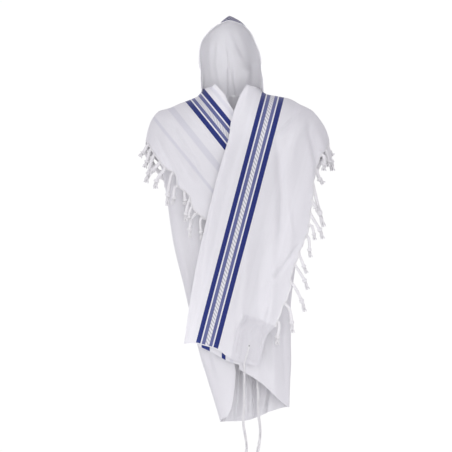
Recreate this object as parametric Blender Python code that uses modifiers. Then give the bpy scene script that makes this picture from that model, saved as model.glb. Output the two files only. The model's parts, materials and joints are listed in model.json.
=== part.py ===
"""Tallit prayer shawl as it is worn: drawn over the head, with both ends brought over the
shoulders and the left end crossed over the right one.

Units are metres and +Z is up. The origin is the crown of the head that carries the shawl, the
front faces -Y, and the wearer's left is +X. Heights are given as a drop below the crown.

Cloth is one wall WALL thick, shaped by functions of a column (0 to 1 across) and a row (0 to 1
down). Each end of the shawl, or wing, has its own flat frame in the front view: "along" runs
down its woven stripes, and "across" runs from the middle of the stripes towards the fringe.
"""

import math
from collections import namedtuple

import bmesh
import bpy
from mathutils import Vector

# ---- driving sizes -------------------------------------------------------------------------

WALL = 0.0020  # thickness that stands for the folded, springy wool
SEAM = 0.0003  # gap between neighbouring pieces
LAYER = 0.0160  # from one wing to the wing that it crosses
EDGE_STRIP = 0.0050  # width of the strip that carries the fringe
TASSEL_PITCH = 0.044
TASSEL_LENGTH = 0.095
YARN = 0.0040  # radius of a fringe tassel's twisted yarn
TZITZIT_STEM = 0.110
TZITZIT_STRINGS = 0.310
STRING = 0.00095  # radius of one of its strings
SHOULDER_CURL = 0.130  # drop over which a wing turns from the top of the shoulder to the chest

# ---- sections of the wearer's general figure ------------------------------------------------

# Body wrap: a tube of cloth round the body that narrows and drifts to the left lower down.
Tube = namedtuple("Tube", "drop right left front back")
TUBE = (
    Tube(0.400, 0.242, 0.262, 0.100, 0.120),
    Tube(0.485, 0.235, 0.258, 0.102, 0.124),
    Tube(0.620, 0.211, 0.247, 0.100, 0.120),
    Tube(0.730, 0.194, 0.235, 0.097, 0.116),
    Tube(0.860, 0.167, 0.219, 0.091, 0.110),
    Tube(0.988, 0.137, 0.206, 0.084, 0.102),
    Tube(1.130, 0.104, 0.207, 0.077, 0.094),
    Tube(1.250, 0.068, 0.204, 0.070, 0.088),
    Tube(1.380, 0.031, 0.196, 0.064, 0.082),
)

# Outer layer in front and behind: its half depth at the middle, over a broad oval.
Drape = namedtuple("Drape", "drop centre half_width front back")
DRAPE = (
    Drape(0.220, 0.010, 0.400, 0.132, 0.120),
    Drape(0.300, 0.010, 0.400, 0.143, 0.134),
    Drape(0.420, 0.012, 0.385, 0.155, 0.150),
    Drape(0.600, 0.016, 0.380, 0.156, 0.150),
    Drape(0.800, 0.020, 0.370, 0.148, 0.142),
    Drape(1.000, 0.030, 0.350, 0.136, 0.134),
    Drape(1.220, 0.040, 0.330, 0.124, 0.126),
)

# Hood: the front rim on each side, from its widest point down to the throat.
Rim = namedtuple("Rim", "share width forward drop turn")
RIGHT_RIM = (
    Rim(0.00, 0.1054, 0.105, 0.1615, 90.0),
    Rim(0.35, 0.1030, 0.105, 0.1840, 94.0),
    Rim(0.65, 0.0960, 0.106, 0.2040, 103.0),
    Rim(0.85, 0.0790, 0.106, 0.2210, 122.0),
    Rim(1.00, 0.0560, 0.102, 0.2420, 142.0),
)
LEFT_RIM = (
    Rim(0.00, 0.1064, 0.105, 0.1615, 90.0),
    Rim(0.35, 0.1070, 0.105, 0.1840, 94.0),
    Rim(0.65, 0.1000, 0.106, 0.2020, 103.0),
    Rim(0.85, 0.0820, 0.106, 0.2170, 122.0),
    Rim(1.00, 0.0590, 0.102, 0.2380, 142.0),
)

# Hood: the line from the forehead over the crown to the nape, seen from the side.
Crown = namedtuple("Crown", "share back drop")
CROWN = (
    Crown(0.00, -0.118, 0.0136),
    Crown(0.12, -0.085, 0.0040),
    Crown(0.25, -0.030, -0.0015),
    Crown(0.40, 0.042, 0.0120),
    Crown(0.55, 0.090, 0.0640),
    Crown(0.70, 0.108, 0.1300),
    Crown(0.85, 0.108, 0.2000),
    Crown(1.00, 0.100, 0.2640),
)

# ---- the two wings --------------------------------------------------------------------------

# Each wing's frame, and how far its wall's middle lies outside the middle of the hood's wall.
Wing = namedtuple("Wing", "name side x drop lean clear")
LEFT = Wing("left", 1, 0.148, 0.2706, -15.25, 0.0026)
RIGHT = Wing("right", -1, -0.114, 0.2706, 38.7, 0.0060)

# Top of the shoulder from the neck outwards, seen from the front.
Shoulder = namedtuple("Shoulder", "x drop")
LEFT_SHOULDER = (
    Shoulder(0.124, 0.2615),
    Shoulder(0.163, 0.2690),
    Shoulder(0.200, 0.2765),
    Shoulder(0.238, 0.2960),
    Shoulder(0.275, 0.3145),
    Shoulder(0.306, 0.3485),
    Shoulder(0.326, 0.3825),
    Shoulder(0.337, 0.4165),
)
RIGHT_SHOULDER = (
    Shoulder(-0.108, 0.2670),
    Shoulder(-0.136, 0.2805),
    Shoulder(-0.170, 0.2930),
    Shoulder(-0.204, 0.3080),
    Shoulder(-0.245, 0.3215),
    Shoulder(-0.264, 0.3450),
    Shoulder(-0.278, 0.3800),
    Shoulder(-0.286, 0.4180),
)

# Edges of each front wing in its own frame: how far across they lie at each length along it.
Edge = namedtuple("Edge", "along across")
LEFT_INNER = (
    Edge(-0.030, -0.092),
    Edge(0.022, -0.109),
    Edge(0.055, -0.114),
    Edge(0.120, -0.117),
    Edge(0.180, -0.109),
    Edge(0.280, -0.112),
    Edge(0.530, -0.107),
    Edge(0.690, -0.096),
    Edge(0.895, -0.0725),
)
LEFT_FRINGED = (
    Edge(0.090, 0.2200),
    Edge(0.176, 0.2060),
    Edge(0.236, 0.2070),
    Edge(0.365, 0.2240),
    Edge(0.434, 0.2270),
    Edge(0.540, 0.2140),
    Edge(0.620, 0.2200),
    Edge(0.740, 0.2060),
    Edge(0.895, 0.1950),
)
RIGHT_INNER = (
    Edge(-0.010, -0.069),
    Edge(0.026, -0.077),
    Edge(0.058, -0.078),
    Edge(0.083, -0.071),
    Edge(0.150, -0.066),
    Edge(0.360, -0.090),
)
RIGHT_FRINGED = (
    Edge(0.000, 0.2240),
    Edge(0.116, 0.2320),
    Edge(0.158, 0.2190),
    Edge(0.200, 0.2360),
    Edge(0.240, 0.2260),
    Edge(0.290, 0.2420),
    Edge(0.360, 0.2300),
)
LEFT_HEM_ALONG = 0.895
RIGHT_CROSSING = 0.360  # length along the right wing where it has gone under the left one
RIGHT_HEM = (Shoulder(0.023, 1.182), Shoulder(-0.107, 1.131))

# Behind the shoulders each wing falls towards the middle of the back, the left over the right.
BackEdge = namedtuple("BackEdge", "drop inner outer")
LEFT_BACK_EDGES = (
    BackEdge(0.300, 0.078, 0.345),
    BackEdge(0.420, 0.030, 0.335),
    BackEdge(0.520, -0.010, 0.235),
    BackEdge(0.640, -0.032, 0.190),
    BackEdge(0.780, -0.042, 0.160),
    BackEdge(0.960, -0.044, 0.136),
)
RIGHT_BACK_EDGES = (
    BackEdge(0.300, -0.065, -0.300),
    BackEdge(0.420, -0.020, -0.284),
    BackEdge(0.520, 0.020, -0.190),
    BackEdge(0.640, 0.052, -0.148),
    BackEdge(0.780, 0.078, -0.120),
    BackEdge(0.960, 0.090, -0.090),
)
BACK_INNER_HEM = 0.930
BACK_OUTER_HEM = 0.890
BACK_INNER_ACROSS = -0.105  # cloth between the stripes and the inner edge, lower down

# Soft folds: a ridge across the cloth at the top and foot of its run, in metres, with the rows
# that it starts and ends at, its width and its height.
Fold = namedtuple("Fold", "top foot start end width height")
LEFT_FRONT_FOLDS = (
    Fold(-0.090, -0.062, 0.05, 1.00, 0.014, 0.010),
    Fold(-0.062, -0.050, 0.20, 0.95, 0.011, -0.005),
    Fold(0.075, 0.120, 0.12, 0.80, 0.022, -0.008),
    Fold(0.120, 0.090, 0.10, 1.00, 0.024, 0.010),
    Fold(0.165, 0.150, 0.15, 0.85, 0.016, -0.007),
    Fold(0.195, 0.185, 0.10, 1.00, 0.016, 0.007),
    Fold(0.050, 0.075, 0.60, 1.00, 0.016, 0.007),
)
RIGHT_FRONT_FOLDS = (
    Fold(-0.052, -0.040, 0.05, 0.50, 0.014, 0.004),
    Fold(0.070, 0.075, 0.04, 0.80, 0.016, -0.006),
    Fold(0.110, 0.110, 0.04, 0.60, 0.020, 0.007),
    Fold(0.150, 0.150, 0.06, 0.60, 0.014, -0.006),
    Fold(0.185, 0.190, 0.06, 0.60, 0.020, 0.007),
)
BACK_WING_FOLDS = (
    Fold(0.060, 0.070, 0.15, 1.00, 0.020, 0.007),
    Fold(0.110, 0.125, 0.15, 1.00, 0.022, -0.006),
    Fold(0.160, 0.170, 0.15, 1.00, 0.020, 0.008),
)

# Tassels of the front fringes: the row of cells that each leaves, and where its tip hangs.
Tassel = namedtuple("Tassel", "row x drop")
LEFT_TASSELS = (
    Tassel(1.40, 0.3502, 0.4709),
    Tassel(2.10, 0.3468, 0.5219),
    Tassel(3.10, 0.3300, 0.5090),
    Tassel(4.15, 0.3162, 0.5219),
    Tassel(5.50, 0.3162, 0.5661),
    Tassel(6.60, 0.3162, 0.7123),
    Tassel(7.40, 0.2960, 0.6600),
    Tassel(8.30, 0.3128, 0.7531),
    Tassel(9.20, 0.2860, 0.7560),
    Tassel(10.0, 0.2720, 0.8143),
    Tassel(11.2, 0.2584, 0.8687),
    Tassel(12.2, 0.2618, 0.9231),
    Tassel(13.5, 0.2516, 0.9979),
    Tassel(15.1, 0.2108, 1.0693),
    Tassel(16.6, 0.1598, 1.1101),
)
RIGHT_TASSELS = (
    Tassel(1.90, -0.3060, 0.4743),
    Tassel(2.65, -0.2900, 0.5117),
    Tassel(3.50, -0.2850, 0.5627),
    Tassel(4.40, -0.2754, 0.5355),
    Tassel(5.20, -0.2516, 0.5831),
    Tassel(6.00, -0.2108, 0.6409),
    Tassel(7.10, -0.1938, 0.6375),
    Tassel(7.80, -0.1540, 0.6375),
    Tassel(8.50, -0.1496, 0.6953),
    Tassel(9.20, -0.1292, 0.6953),
    Tassel(9.90, -0.1340, 0.7497),
    Tassel(10.6, -0.0952, 0.7565),
)

# ---- small mathematics ----------------------------------------------------------------------


def read(table, key, value, at):
    """The named value at a place along the table, on a smooth curve through its rows."""
    xs = [getattr(row, key) for row in table]
    ys = [getattr(row, value) for row in table]
    at = min(max(at, xs[0]), xs[-1])
    i = next((n for n in range(len(xs) - 2) if at <= xs[n + 1]), len(xs) - 2)
    steps = [(ys[n + 1] - ys[n]) / (xs[n + 1] - xs[n]) for n in range(len(xs) - 1)]

    def slope(n):
        if n == 0 or n == len(xs) - 1:
            return steps[min(n, len(steps) - 1)]
        before, after = steps[n - 1], steps[n]
        return 0.0 if before * after <= 0 else 2 * before * after / (before + after)

    width = xs[i + 1] - xs[i]
    u = (at - xs[i]) / width
    start = (1 + 2 * u) * (1 - u) ** 2 * ys[i] + u * (1 - u) ** 2 * width * slope(i)
    end = u * u * (3 - 2 * u) * ys[i + 1] - u * u * (1 - u) * width * slope(i + 1)
    return start + end


def ease(start, end, at):
    """0 before the start, 1 after the end, and smooth between them."""
    u = min(max((at - start) / (end - start), 0.0), 1.0)
    return u * u * (3 - 2 * u)


def mix(a, b, share):
    return a + (b - a) * share


def bell(distance, width):
    return math.exp(-((distance / width) ** 2))


def fold_height(folds, across, row):
    """How far the folds lift the cloth at a place across it and a row down it."""
    height = 0.0
    for fold in folds:
        middle = mix(fold.top, fold.foot, row)
        fade = ease(fold.start, fold.start + 0.12, row) * (1 - ease(fold.end, fold.end + 0.15, row))
        height += fold.height * fade * bell(across - middle, fold.width)
    return height


def place(x, forward, drop):
    return Vector((x, -forward, -drop))


# ---- hood -----------------------------------------------------------------------------------


def hood_point(turn, share):
    """A point of the hood: turn runs from -1, the right rim, over the top to 1, the left rim,
    and share from 0, the front rim, to 1, the nape."""
    rim = LEFT_RIM if turn >= 0 else RIGHT_RIM
    most = math.radians(read(rim, "share", "turn", share))
    angle = abs(turn) * most
    width = read(rim, "share", "width", share) / math.sin(most)
    end_forward = read(rim, "share", "forward", share)
    end_drop = read(rim, "share", "drop", share)
    top_forward = -read(CROWN, "share", "back", share)
    top_drop = read(CROWN, "share", "drop", share)
    cosine = math.cos(most)
    middle_forward = (end_forward - top_forward * cosine) / (1 - cosine)
    middle_drop = (end_drop - top_drop * cosine) / (1 - cosine)
    x = math.copysign(width * math.sin(angle), turn)
    forward = mix(middle_forward, top_forward, math.cos(angle))
    drop = mix(middle_drop, top_drop, math.cos(angle))
    peak = 0.010 * bell(x + 0.002, 0.016) * bell(share - 0.10, 0.09)
    crease = 0.014 * bell(x + 0.006, 0.012) * ease(0.45, 0.85, share)
    side_folds = 0.004 * math.sin(9 * angle + 2 * share) * ease(0.1, 0.4, share) * abs(turn)
    return place(x * (1 - side_folds / 0.10), forward + crease, drop - peak)


# ---- body wrap ------------------------------------------------------------------------------


def tube_point(angle, drop):
    """A point of the body wrap: 0 degrees is the middle of the back, 90 the wearer's left."""
    left, right = read(TUBE, "drop", "left", drop), read(TUBE, "drop", "right", drop)
    turn = math.radians(angle)
    half_width = (left + right) / 2
    depth = read(TUBE, "drop", "front" if abs(angle) > 90 else "back", drop)
    waves = 1 + 0.030 * math.sin(5 * turn + 0.6) * ease(0.55, 1.0, drop)
    waves += 0.020 * math.sin(9 * turn - 0.8) * ease(0.70, 1.3, drop)
    x = (left - right) / 2 + half_width * math.sin(turn)
    return place(x, -depth * waves * math.cos(turn), drop)


def back_hem(x):
    """Drop of the hem behind: lowest on the wearer's right and rising to the left."""
    return 1.3755 - 0.052 * ease(0.03, 0.215, x)


BACK_SPREAD = 62.0  # degrees that the back panel covers on each side
WRAP_START = BACK_SPREAD + 0.20  # the seam's gap, as an angle
LEFT_WRAP_END = 186.0
RIGHT_WRAP_END = 163.0
NAPE = 0.2652  # top of the back panel, just under the hood's foot
BODY_ROWS = 18
WRAP_FIRST_ROW = 3  # the wraps start this far down the back panel's rows
FOOT = 1.33  # drop at which a hem's place across is read


def body_drop(hem, row):
    return mix(NAPE, hem, row / BODY_ROWS)


def wrap_drop(hem, row):
    return body_drop(hem, mix(WRAP_FIRST_ROW, BODY_ROWS, row))


def back_panel_point(column, row):
    angle = mix(-BACK_SPREAD, BACK_SPREAD, column)
    drop = body_drop(back_hem(tube_point(angle, FOOT).x), row * BODY_ROWS)
    body = tube_point(angle, max(drop, 0.40))
    body.z = -drop
    rim = LEFT_RIM if angle >= 0 else RIGHT_RIM
    neck = hood_point(angle / rim[-1].turn, 1.0)
    neck.z = -drop
    return neck.lerp(body, ease(NAPE, 0.43, drop))


def left_wrap_point(column, row):
    """From the left side seam round to an edge near the middle of the front. Its hem rises
    from the side to the middle."""
    angle = mix(WRAP_START, LEFT_WRAP_END, column)
    foot_x = tube_point(angle, FOOT).x
    front_hem = 1.3243 - 0.136 * (1 - (foot_x - 0.034) / 0.163)
    hem = mix(back_hem(foot_x), front_hem, ease(90, 112, angle))
    point = tube_point(angle, wrap_drop(hem, row))
    point.y -= 0.016 * ease(115, 165, angle)
    return point


def right_wrap_point(column, row):
    """From the right side seam round to its front edge, which ends in a rounded corner."""
    angle = mix(WRAP_START, RIGHT_WRAP_END, column)
    foot_x = tube_point(-angle, FOOT).x
    front_hem = 1.3617 - 0.075 * max(foot_x + 0.037, 0.0) / 0.057
    hem = mix(back_hem(foot_x), front_hem, ease(90, 120, angle))
    return tube_point(-angle, wrap_drop(hem, row))


# ---- wings ----------------------------------------------------------------------------------


def flat_place(wing, across, along):
    """(x, drop) of a place given in the wing's own frame."""
    lean = math.radians(wing.lean)
    x = wing.x + along * math.sin(lean) + wing.side * across * math.cos(lean)
    drop = wing.drop + along * math.cos(lean) - wing.side * across * math.sin(lean)
    return x, drop


def in_frame(wing, x, drop):
    """(across, along) of a place given as x and drop."""
    lean = math.radians(wing.lean)
    dx, down = x - wing.x, drop - wing.drop
    along = dx * math.sin(lean) + down * math.cos(lean)
    across = wing.side * (dx * math.cos(lean) - down * math.sin(lean))
    return across, along


def drape_depth(x, drop, value):
    """Half depth of the outer layer at a place in the front view."""
    centre = read(DRAPE, "drop", "centre", drop)
    half_width = read(DRAPE, "drop", "half_width", drop)
    share = min(abs(x - centre) / half_width, 0.97)
    return read(DRAPE, "drop", value, drop) * math.sqrt(1 - share * share)


NECK_SIDE = 0.70  # turn of the hood's foot where a wing's front and back stretches meet
NECK_BACK = 0.40  # and where its back stretch ends, behind the neck


def neck_point(wing, turn):
    """Just outside the foot of the hood."""
    neck = hood_point(wing.side * turn, 0.88)
    return neck + Vector((neck.x, neck.y + 0.02, 0)).normalized() * wing.clear


Top = namedtuple("Top", "across along forward")


def top_line(wing):
    """Top edge of a wing: round the front of the hood's foot, then out along the shoulder."""
    line = []
    for turn in (1.0, 0.86, NECK_SIDE):
        point = neck_point(wing, turn)
        line.append(Top(*in_frame(wing, point.x, -point.z), -point.y))
    for row in LEFT_SHOULDER if wing is LEFT else RIGHT_SHOULDER:
        line.append(Top(*in_frame(wing, row.x, row.drop), 0.0))
    return line


TOP_LINES = {wing.name: top_line(wing) for wing in (LEFT, RIGHT)}
Ridge = namedtuple("Ridge", "share x forward drop")


def back_ridge(wing):
    """Top edge of a wing's back stretch, from behind the neck outwards, by its share of the
    way along it."""
    top = TOP_LINES[wing.name]
    points = [neck_point(wing, mix(NECK_BACK, NECK_SIDE, step / 3)) for step in range(3)]
    for step in range(25):
        across = mix(top[2].across, top[-1].across, step / 24)
        x, drop = flat_place(wing, across, read(top, "across", "along", across))
        points.append(place(x, read(top, "across", "forward", across), drop))
    lengths = [0.0]
    for first, second in zip(points, points[1:]):
        lengths.append(lengths[-1] + (second - first).length)
    return [Ridge(at / lengths[-1], p.x, -p.y, -p.z) for at, p in zip(lengths, points)]


BACK_RIDGES = {wing.name: back_ridge(wing) for wing in (LEFT, RIGHT)}


def curled(wing, across, row, share, end_along):
    """(along, forward share) at a row: the first rows turn over the shoulder."""
    top = TOP_LINES[wing.name]
    start = read(top, "across", "along", across)
    if row < share:
        turn = row / share * math.pi / 2
        return start + SHOULDER_CURL * (1 - math.cos(turn)), math.sin(turn)
    return mix(start + SHOULDER_CURL, end_along, (row - share) / (1 - share)), 1.0


BACK_CURL_ROWS = 0.34


def ridge_gap(forward):
    """Half the gap between a wing's two stretches, wider where their edge bends at the neck."""
    return SEAM / 2 + 0.0002 + 0.11 * abs(forward)


def left_front_flat(column, row):
    """(across, along, forward share) on the left wing's front."""
    across = mix(-0.092, 0.2200, column)
    for _ in range(3):
        along, curl = curled(LEFT, across, row, 0.28, LEFT_HEM_ALONG)
        inner = read(LEFT_INNER, "along", "across", along)
        outer = read(LEFT_FRINGED, "along", "across", along)
        across = mix(inner, outer, column)
    return across, along, curl


def left_front_point(column, row):
    across, along, curl = left_front_flat(column, row)
    x, drop = flat_place(LEFT, across, along)
    first = read(TOP_LINES["left"], "across", "forward", across)
    depth = drape_depth(x, drop, "front")
    forward = mix(first + ridge_gap(first), depth, curl)
    forward += fold_height(LEFT_FRONT_FOLDS, across, row) * ease(0.0, 0.5, curl)
    return place(x, forward, drop)


def right_front_flat(column, row):
    """(across, along, forward share) on the upper part of the right wing's front."""
    across = mix(-0.069, 0.2240, column)
    for _ in range(3):
        along, curl = curled(RIGHT, across, row, 0.5, RIGHT_CROSSING)
        inner = read(RIGHT_INNER, "along", "across", along)
        outer = read(RIGHT_FRINGED, "along", "across", along)
        across = mix(inner, outer, column)
    return across, along, curl


RIGHT_UPPER = 0.56  # share of the right wing's rows that lie above its crossing


def right_front_point(column, row):
    upper = min(row / RIGHT_UPPER, 1.0)
    across, along, curl = right_front_flat(column, upper)
    x, drop = flat_place(RIGHT, across, along)
    if row > RIGHT_UPPER:
        down = (row - RIGHT_UPPER) / (1 - RIGHT_UPPER)
        hem_x = mix(RIGHT_HEM[0].x, RIGHT_HEM[1].x, column)
        hem_drop = mix(RIGHT_HEM[0].drop, RIGHT_HEM[1].drop, column)
        lean = math.radians(RIGHT.lean)
        reach = 0.10 * down * (1 - down) ** 2
        x = mix(x, hem_x, ease(0.0, 1.0, down)) + reach * math.sin(lean)
        drop = mix(drop, hem_drop, down)
    first = read(TOP_LINES["right"], "across", "forward", across)
    depth = drape_depth(x, drop, "front") - LAYER
    forward = mix(first + ridge_gap(first), depth, curl)
    forward += fold_height(RIGHT_FRONT_FOLDS, across, row) * ease(0.0, 0.5, curl)
    return place(x, forward, drop)


def back_point(wing, edges, layer, column, row):
    """A wing's stretch behind the shoulder."""
    ridge = BACK_RIDGES[wing.name]
    start_x = read(ridge, "share", "x", column)
    start_forward = read(ridge, "share", "forward", column)
    start_drop = read(ridge, "share", "drop", column)
    if row < BACK_CURL_ROWS:
        turn = row / BACK_CURL_ROWS * math.pi / 2
        drop, curl = start_drop + SHOULDER_CURL * (1 - math.cos(turn)), math.sin(turn)
    else:
        hem = mix(BACK_INNER_HEM, BACK_OUTER_HEM, column)
        down = (row - BACK_CURL_ROWS) / (1 - BACK_CURL_ROWS)
        drop, curl = mix(start_drop + SHOULDER_CURL, hem, down), 1.0
    inner, outer = read(edges, "drop", "inner", drop), read(edges, "drop", "outer", drop)
    x = mix(start_x, mix(inner, outer, column), ease(0.0, 0.40, row))
    cloth = mix(mix(-0.03, BACK_INNER_ACROSS, ease(0.1, 0.6, row)), 0.22, column)
    lift = fold_height(BACK_WING_FOLDS, cloth, row)
    depth = drape_depth(x, drop, "back") - layer
    backward = mix(ridge_gap(start_forward) - start_forward, depth, curl) + lift * curl
    return place(x, -backward, drop)


def left_back_point(column, row):
    return back_point(LEFT, LEFT_BACK_EDGES, 0.0, column, row)


def right_back_point(column, row):
    return back_point(RIGHT, RIGHT_BACK_EDGES, LAYER, column, row)


# ---- pieces that lie on others ---------------------------------------------------------------


NUDGE = 0.004  # share of a sheet over which its slope is measured


def slopes(point, column, row):
    """Directions across and down a sheet at a place on it."""
    right, left = min(column + NUDGE, 1.0), max(column - NUDGE, 0.0)
    below, above = min(row + NUDGE, 1.0), max(row - NUDGE, 0.0)
    across = point(right, row) - point(left, row)
    down = point(column, below) - point(column, above)
    return across.normalized(), down.normalized()


def raised(point, column, row, height):
    """A point of a sheet moved away from the body's axis, square to the sheet."""
    here = point(column, row)
    across, down = slopes(point, column, row)
    normal = across.cross(down).normalized()
    away = Vector((here.x * 0.3, here.y, here.z + 0.6 if here.z > -0.2 else 0.0))
    return here + normal * math.copysign(height, height * normal.dot(away))


def beyond_edge(point, row, distance):
    """A point that far beyond column 1 of a sheet, square to its edge."""
    here = point(1.0, row)
    across, down = slopes(point, 1.0, row)
    return here + (across - down * across.dot(down)).normalized() * distance


def hood_sheet(column, row):
    return hood_point(2 * column - 1, row)


# The cloth's stretches and the cells that each is woven in.
Stretch = namedtuple("Stretch", "name point columns rows")
HOOD = Stretch("hood", hood_sheet, 28, 16)
BACK = Stretch("back_panel", back_panel_point, 12, BODY_ROWS)
LEFT_WRAP = Stretch("left_wrap", left_wrap_point, 12, BODY_ROWS - WRAP_FIRST_ROW)
RIGHT_WRAP = Stretch("right_wrap", right_wrap_point, 10, BODY_ROWS - WRAP_FIRST_ROW)
LEFT_FRONT = Stretch("left_wing_front", left_front_point, 24, 20)
RIGHT_FRONT = Stretch("right_wing_front", right_front_point, 18, 20)
LEFT_BACK = Stretch("left_wing_back", left_back_point, 14, 14)
RIGHT_BACK = Stretch("right_wing_back", right_back_point, 14, 14)
STRETCHES = (
    HOOD,
    BACK,
    LEFT_WRAP,
    RIGHT_WRAP,
    LEFT_FRONT,
    RIGHT_FRONT,
    LEFT_BACK,
    RIGHT_BACK,
)

LIE = WALL + 0.0008  # from the middle of a panel's wall to the middle of a patch's on it
ON_PATCH = LIE + WALL / 2 + 0.0031  # and to the middle of the cord that lies on the patch
INSET = 0.12  # share of a cell that a patch stays inside its panel's edge

# Cells of a stretch that a piece covers, and how far it is raised: outwards, or inwards if less
# than nothing.
Cover = namedtuple("Cover", "stretch first_column last_column first_row last_row height")
NECKBAND = Cover(HOOD, 5, 23, 0, 5, LIE)


def covered(cover, column, row, height):
    """A point over a stretch's own facets, whose cell lines the cover follows."""
    stretch = cover.stretch
    at_column = mix(cover.first_column, cover.last_column, column)
    at_row = mix(cover.first_row, cover.last_row, row)
    at_column = min(max(at_column, cover.first_column + INSET), cover.last_column - INSET)
    at_row = min(max(at_row, cover.first_row + INSET), cover.last_row - INSET)
    i, j = min(int(at_column), stretch.columns - 1), min(int(at_row), stretch.rows - 1)
    u, v = at_column - i, at_row - j

    def corner(a, b):
        place_across, place_down = (i + a) / stretch.columns, (j + b) / stretch.rows
        return raised(stretch.point, place_across, place_down, height)

    return corner(0, 0).lerp(corner(1, 0), u).lerp(corner(0, 1).lerp(corner(1, 1), u), v)


# Fringe runs down the cloth's outer edge beside these rows of cells.
Run = namedtuple("Run", "name stretch first last tassels")
RUNS = (
    Run("left_front_fringe", LEFT_FRONT, 1, 17, LEFT_TASSELS),
    Run("right_front_fringe", RIGHT_FRONT, 1, 11, RIGHT_TASSELS),
    Run("left_back_fringe", LEFT_BACK, 1, 11, ()),
    Run("right_back_fringe", RIGHT_BACK, 1, 11, ()),
)

# Corners: the cells that each patch covers, then the eyelet and the place where its tzitzit
# turns over the hem, as shares of the patch, and how much further in or out it hangs.
Corner = namedtuple("Corner", "name cover eyelet hem hang")
CORNERS = (
    Corner("left_front", Cover(LEFT_FRONT, 15, 24, 17, 20, LIE), (0.52, 0.62), (0.55, 0.99), 0),
    Corner("right_front", Cover(LEFT_WRAP, 8, 11, 11, 13, -LIE), (0.5, 0.75), (0.5, 0.99), 0.014),
    Corner("left_back", Cover(LEFT_BACK, 8, 14, 12, 14, LIE), (0.70, 0.60), (0.70, 0.99), 0),
    Corner("right_back", Cover(RIGHT_BACK, 9, 14, 12, 14, LIE), (0.70, 0.60), (0.70, 0.99), 0),
)


# ---- making meshes --------------------------------------------------------------------------


def clear_scene():
    for obj in list(bpy.data.objects):
        bpy.data.objects.remove(obj, do_unlink=True)


def material(name, colour, roughness):
    made = bpy.data.materials.new(name)
    made.use_nodes = True
    shader = made.node_tree.nodes["Principled BSDF"]
    shader.inputs["Base Color"].default_value = (*colour, 1.0)
    shader.inputs["Roughness"].default_value = roughness
    return made


def add_object(name, mesh, collection, finish):
    obj = bpy.data.objects.new(name, mesh)
    obj.data.materials.append(finish)
    collection.objects.link(obj)
    return obj


def sheet(name, collection, finish, columns, rows, point, wall=WALL):
    """A grid of cloth laid through point(column, row), with a wall thickness."""
    bm = bmesh.new()
    bmesh.ops.create_grid(bm, x_segments=columns, y_segments=rows, size=0.5)
    for vert in bm.verts:
        vert.co = point(vert.co.x + 0.5, 0.5 - vert.co.y)
    bmesh.ops.recalc_face_normals(bm, faces=bm.faces)
    mesh = bpy.data.meshes.new(name)
    bm.to_mesh(mesh)
    bm.free()
    mesh.shade_smooth()
    obj = add_object(name, mesh, collection, finish)
    solid = obj.modifiers.new("Wall", "SOLIDIFY")
    solid.thickness = wall
    solid.offset = 0.0
    return obj


def yarns(name, collection, finish, paths, radius, sides_level=0):
    """One mesh of closed tubes: each path is a list of (point, share of the radius)."""
    curve = bpy.data.curves.new(name, "CURVE")
    curve.dimensions = "3D"
    curve.bevel_depth = radius
    curve.bevel_resolution = sides_level
    curve.use_fill_caps = True
    for path in paths:
        spline = curve.splines.new("POLY")
        spline.points.add(len(path) - 1)
        for end, (point, share) in zip(spline.points, path):
            end.co = (*point, 1.0)
            end.radius = share
    guide = bpy.data.objects.new(name + "_guide", curve)
    collection.objects.link(guide)
    bpy.context.view_layer.update()
    shape = guide.evaluated_get(bpy.context.evaluated_depsgraph_get())
    mesh = bpy.data.meshes.new_from_object(shape)
    bpy.data.objects.remove(guide)
    bm = bmesh.new()
    bm.from_mesh(mesh)
    bmesh.ops.remove_doubles(bm, verts=bm.verts, dist=0.00001)
    bmesh.ops.recalc_face_normals(bm, faces=bm.faces)
    bm.to_mesh(mesh)
    bm.free()
    mesh.materials.clear()
    obj = bpy.data.objects.new(name, mesh)
    obj.data.materials.append(finish)
    collection.objects.link(obj)
    return obj


def fuse(base, extra, cutters):
    """Unite a strip or stem with the strands that are rooted in it."""
    for collection in extra.users_collection:
        collection.objects.unlink(extra)
    cutters.objects.link(extra)
    extra.hide_render = True
    extra.display_type = "WIRE"
    join = base.modifiers.new("Roots", "BOOLEAN")
    join.operation = "UNION"
    join.object = extra


# ---- fringe and tzitzit ---------------------------------------------------------------------


def uneven(number, scale):
    """A small fixed variation from one strand to the next."""
    return scale * math.sin(12.9898 * number + 4.1)


def tassel(root, outward, tip):
    """A knotted tassel: it leaves the edge, bends down under its weight, and ends in a tuft."""
    bend = root + outward * (tip - root).length * 0.30
    shares = (0.0, 0.12, 0.32, 0.60, 0.72, 0.82, 1.0)
    sizes = (0.55, 0.80, 0.80, 0.85, 1.50, 0.80, 1.15)
    return [
        (root.lerp(bend, share).lerp(bend.lerp(tip, share), share), size)
        for share, size in zip(shares, sizes)
    ]


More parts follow.
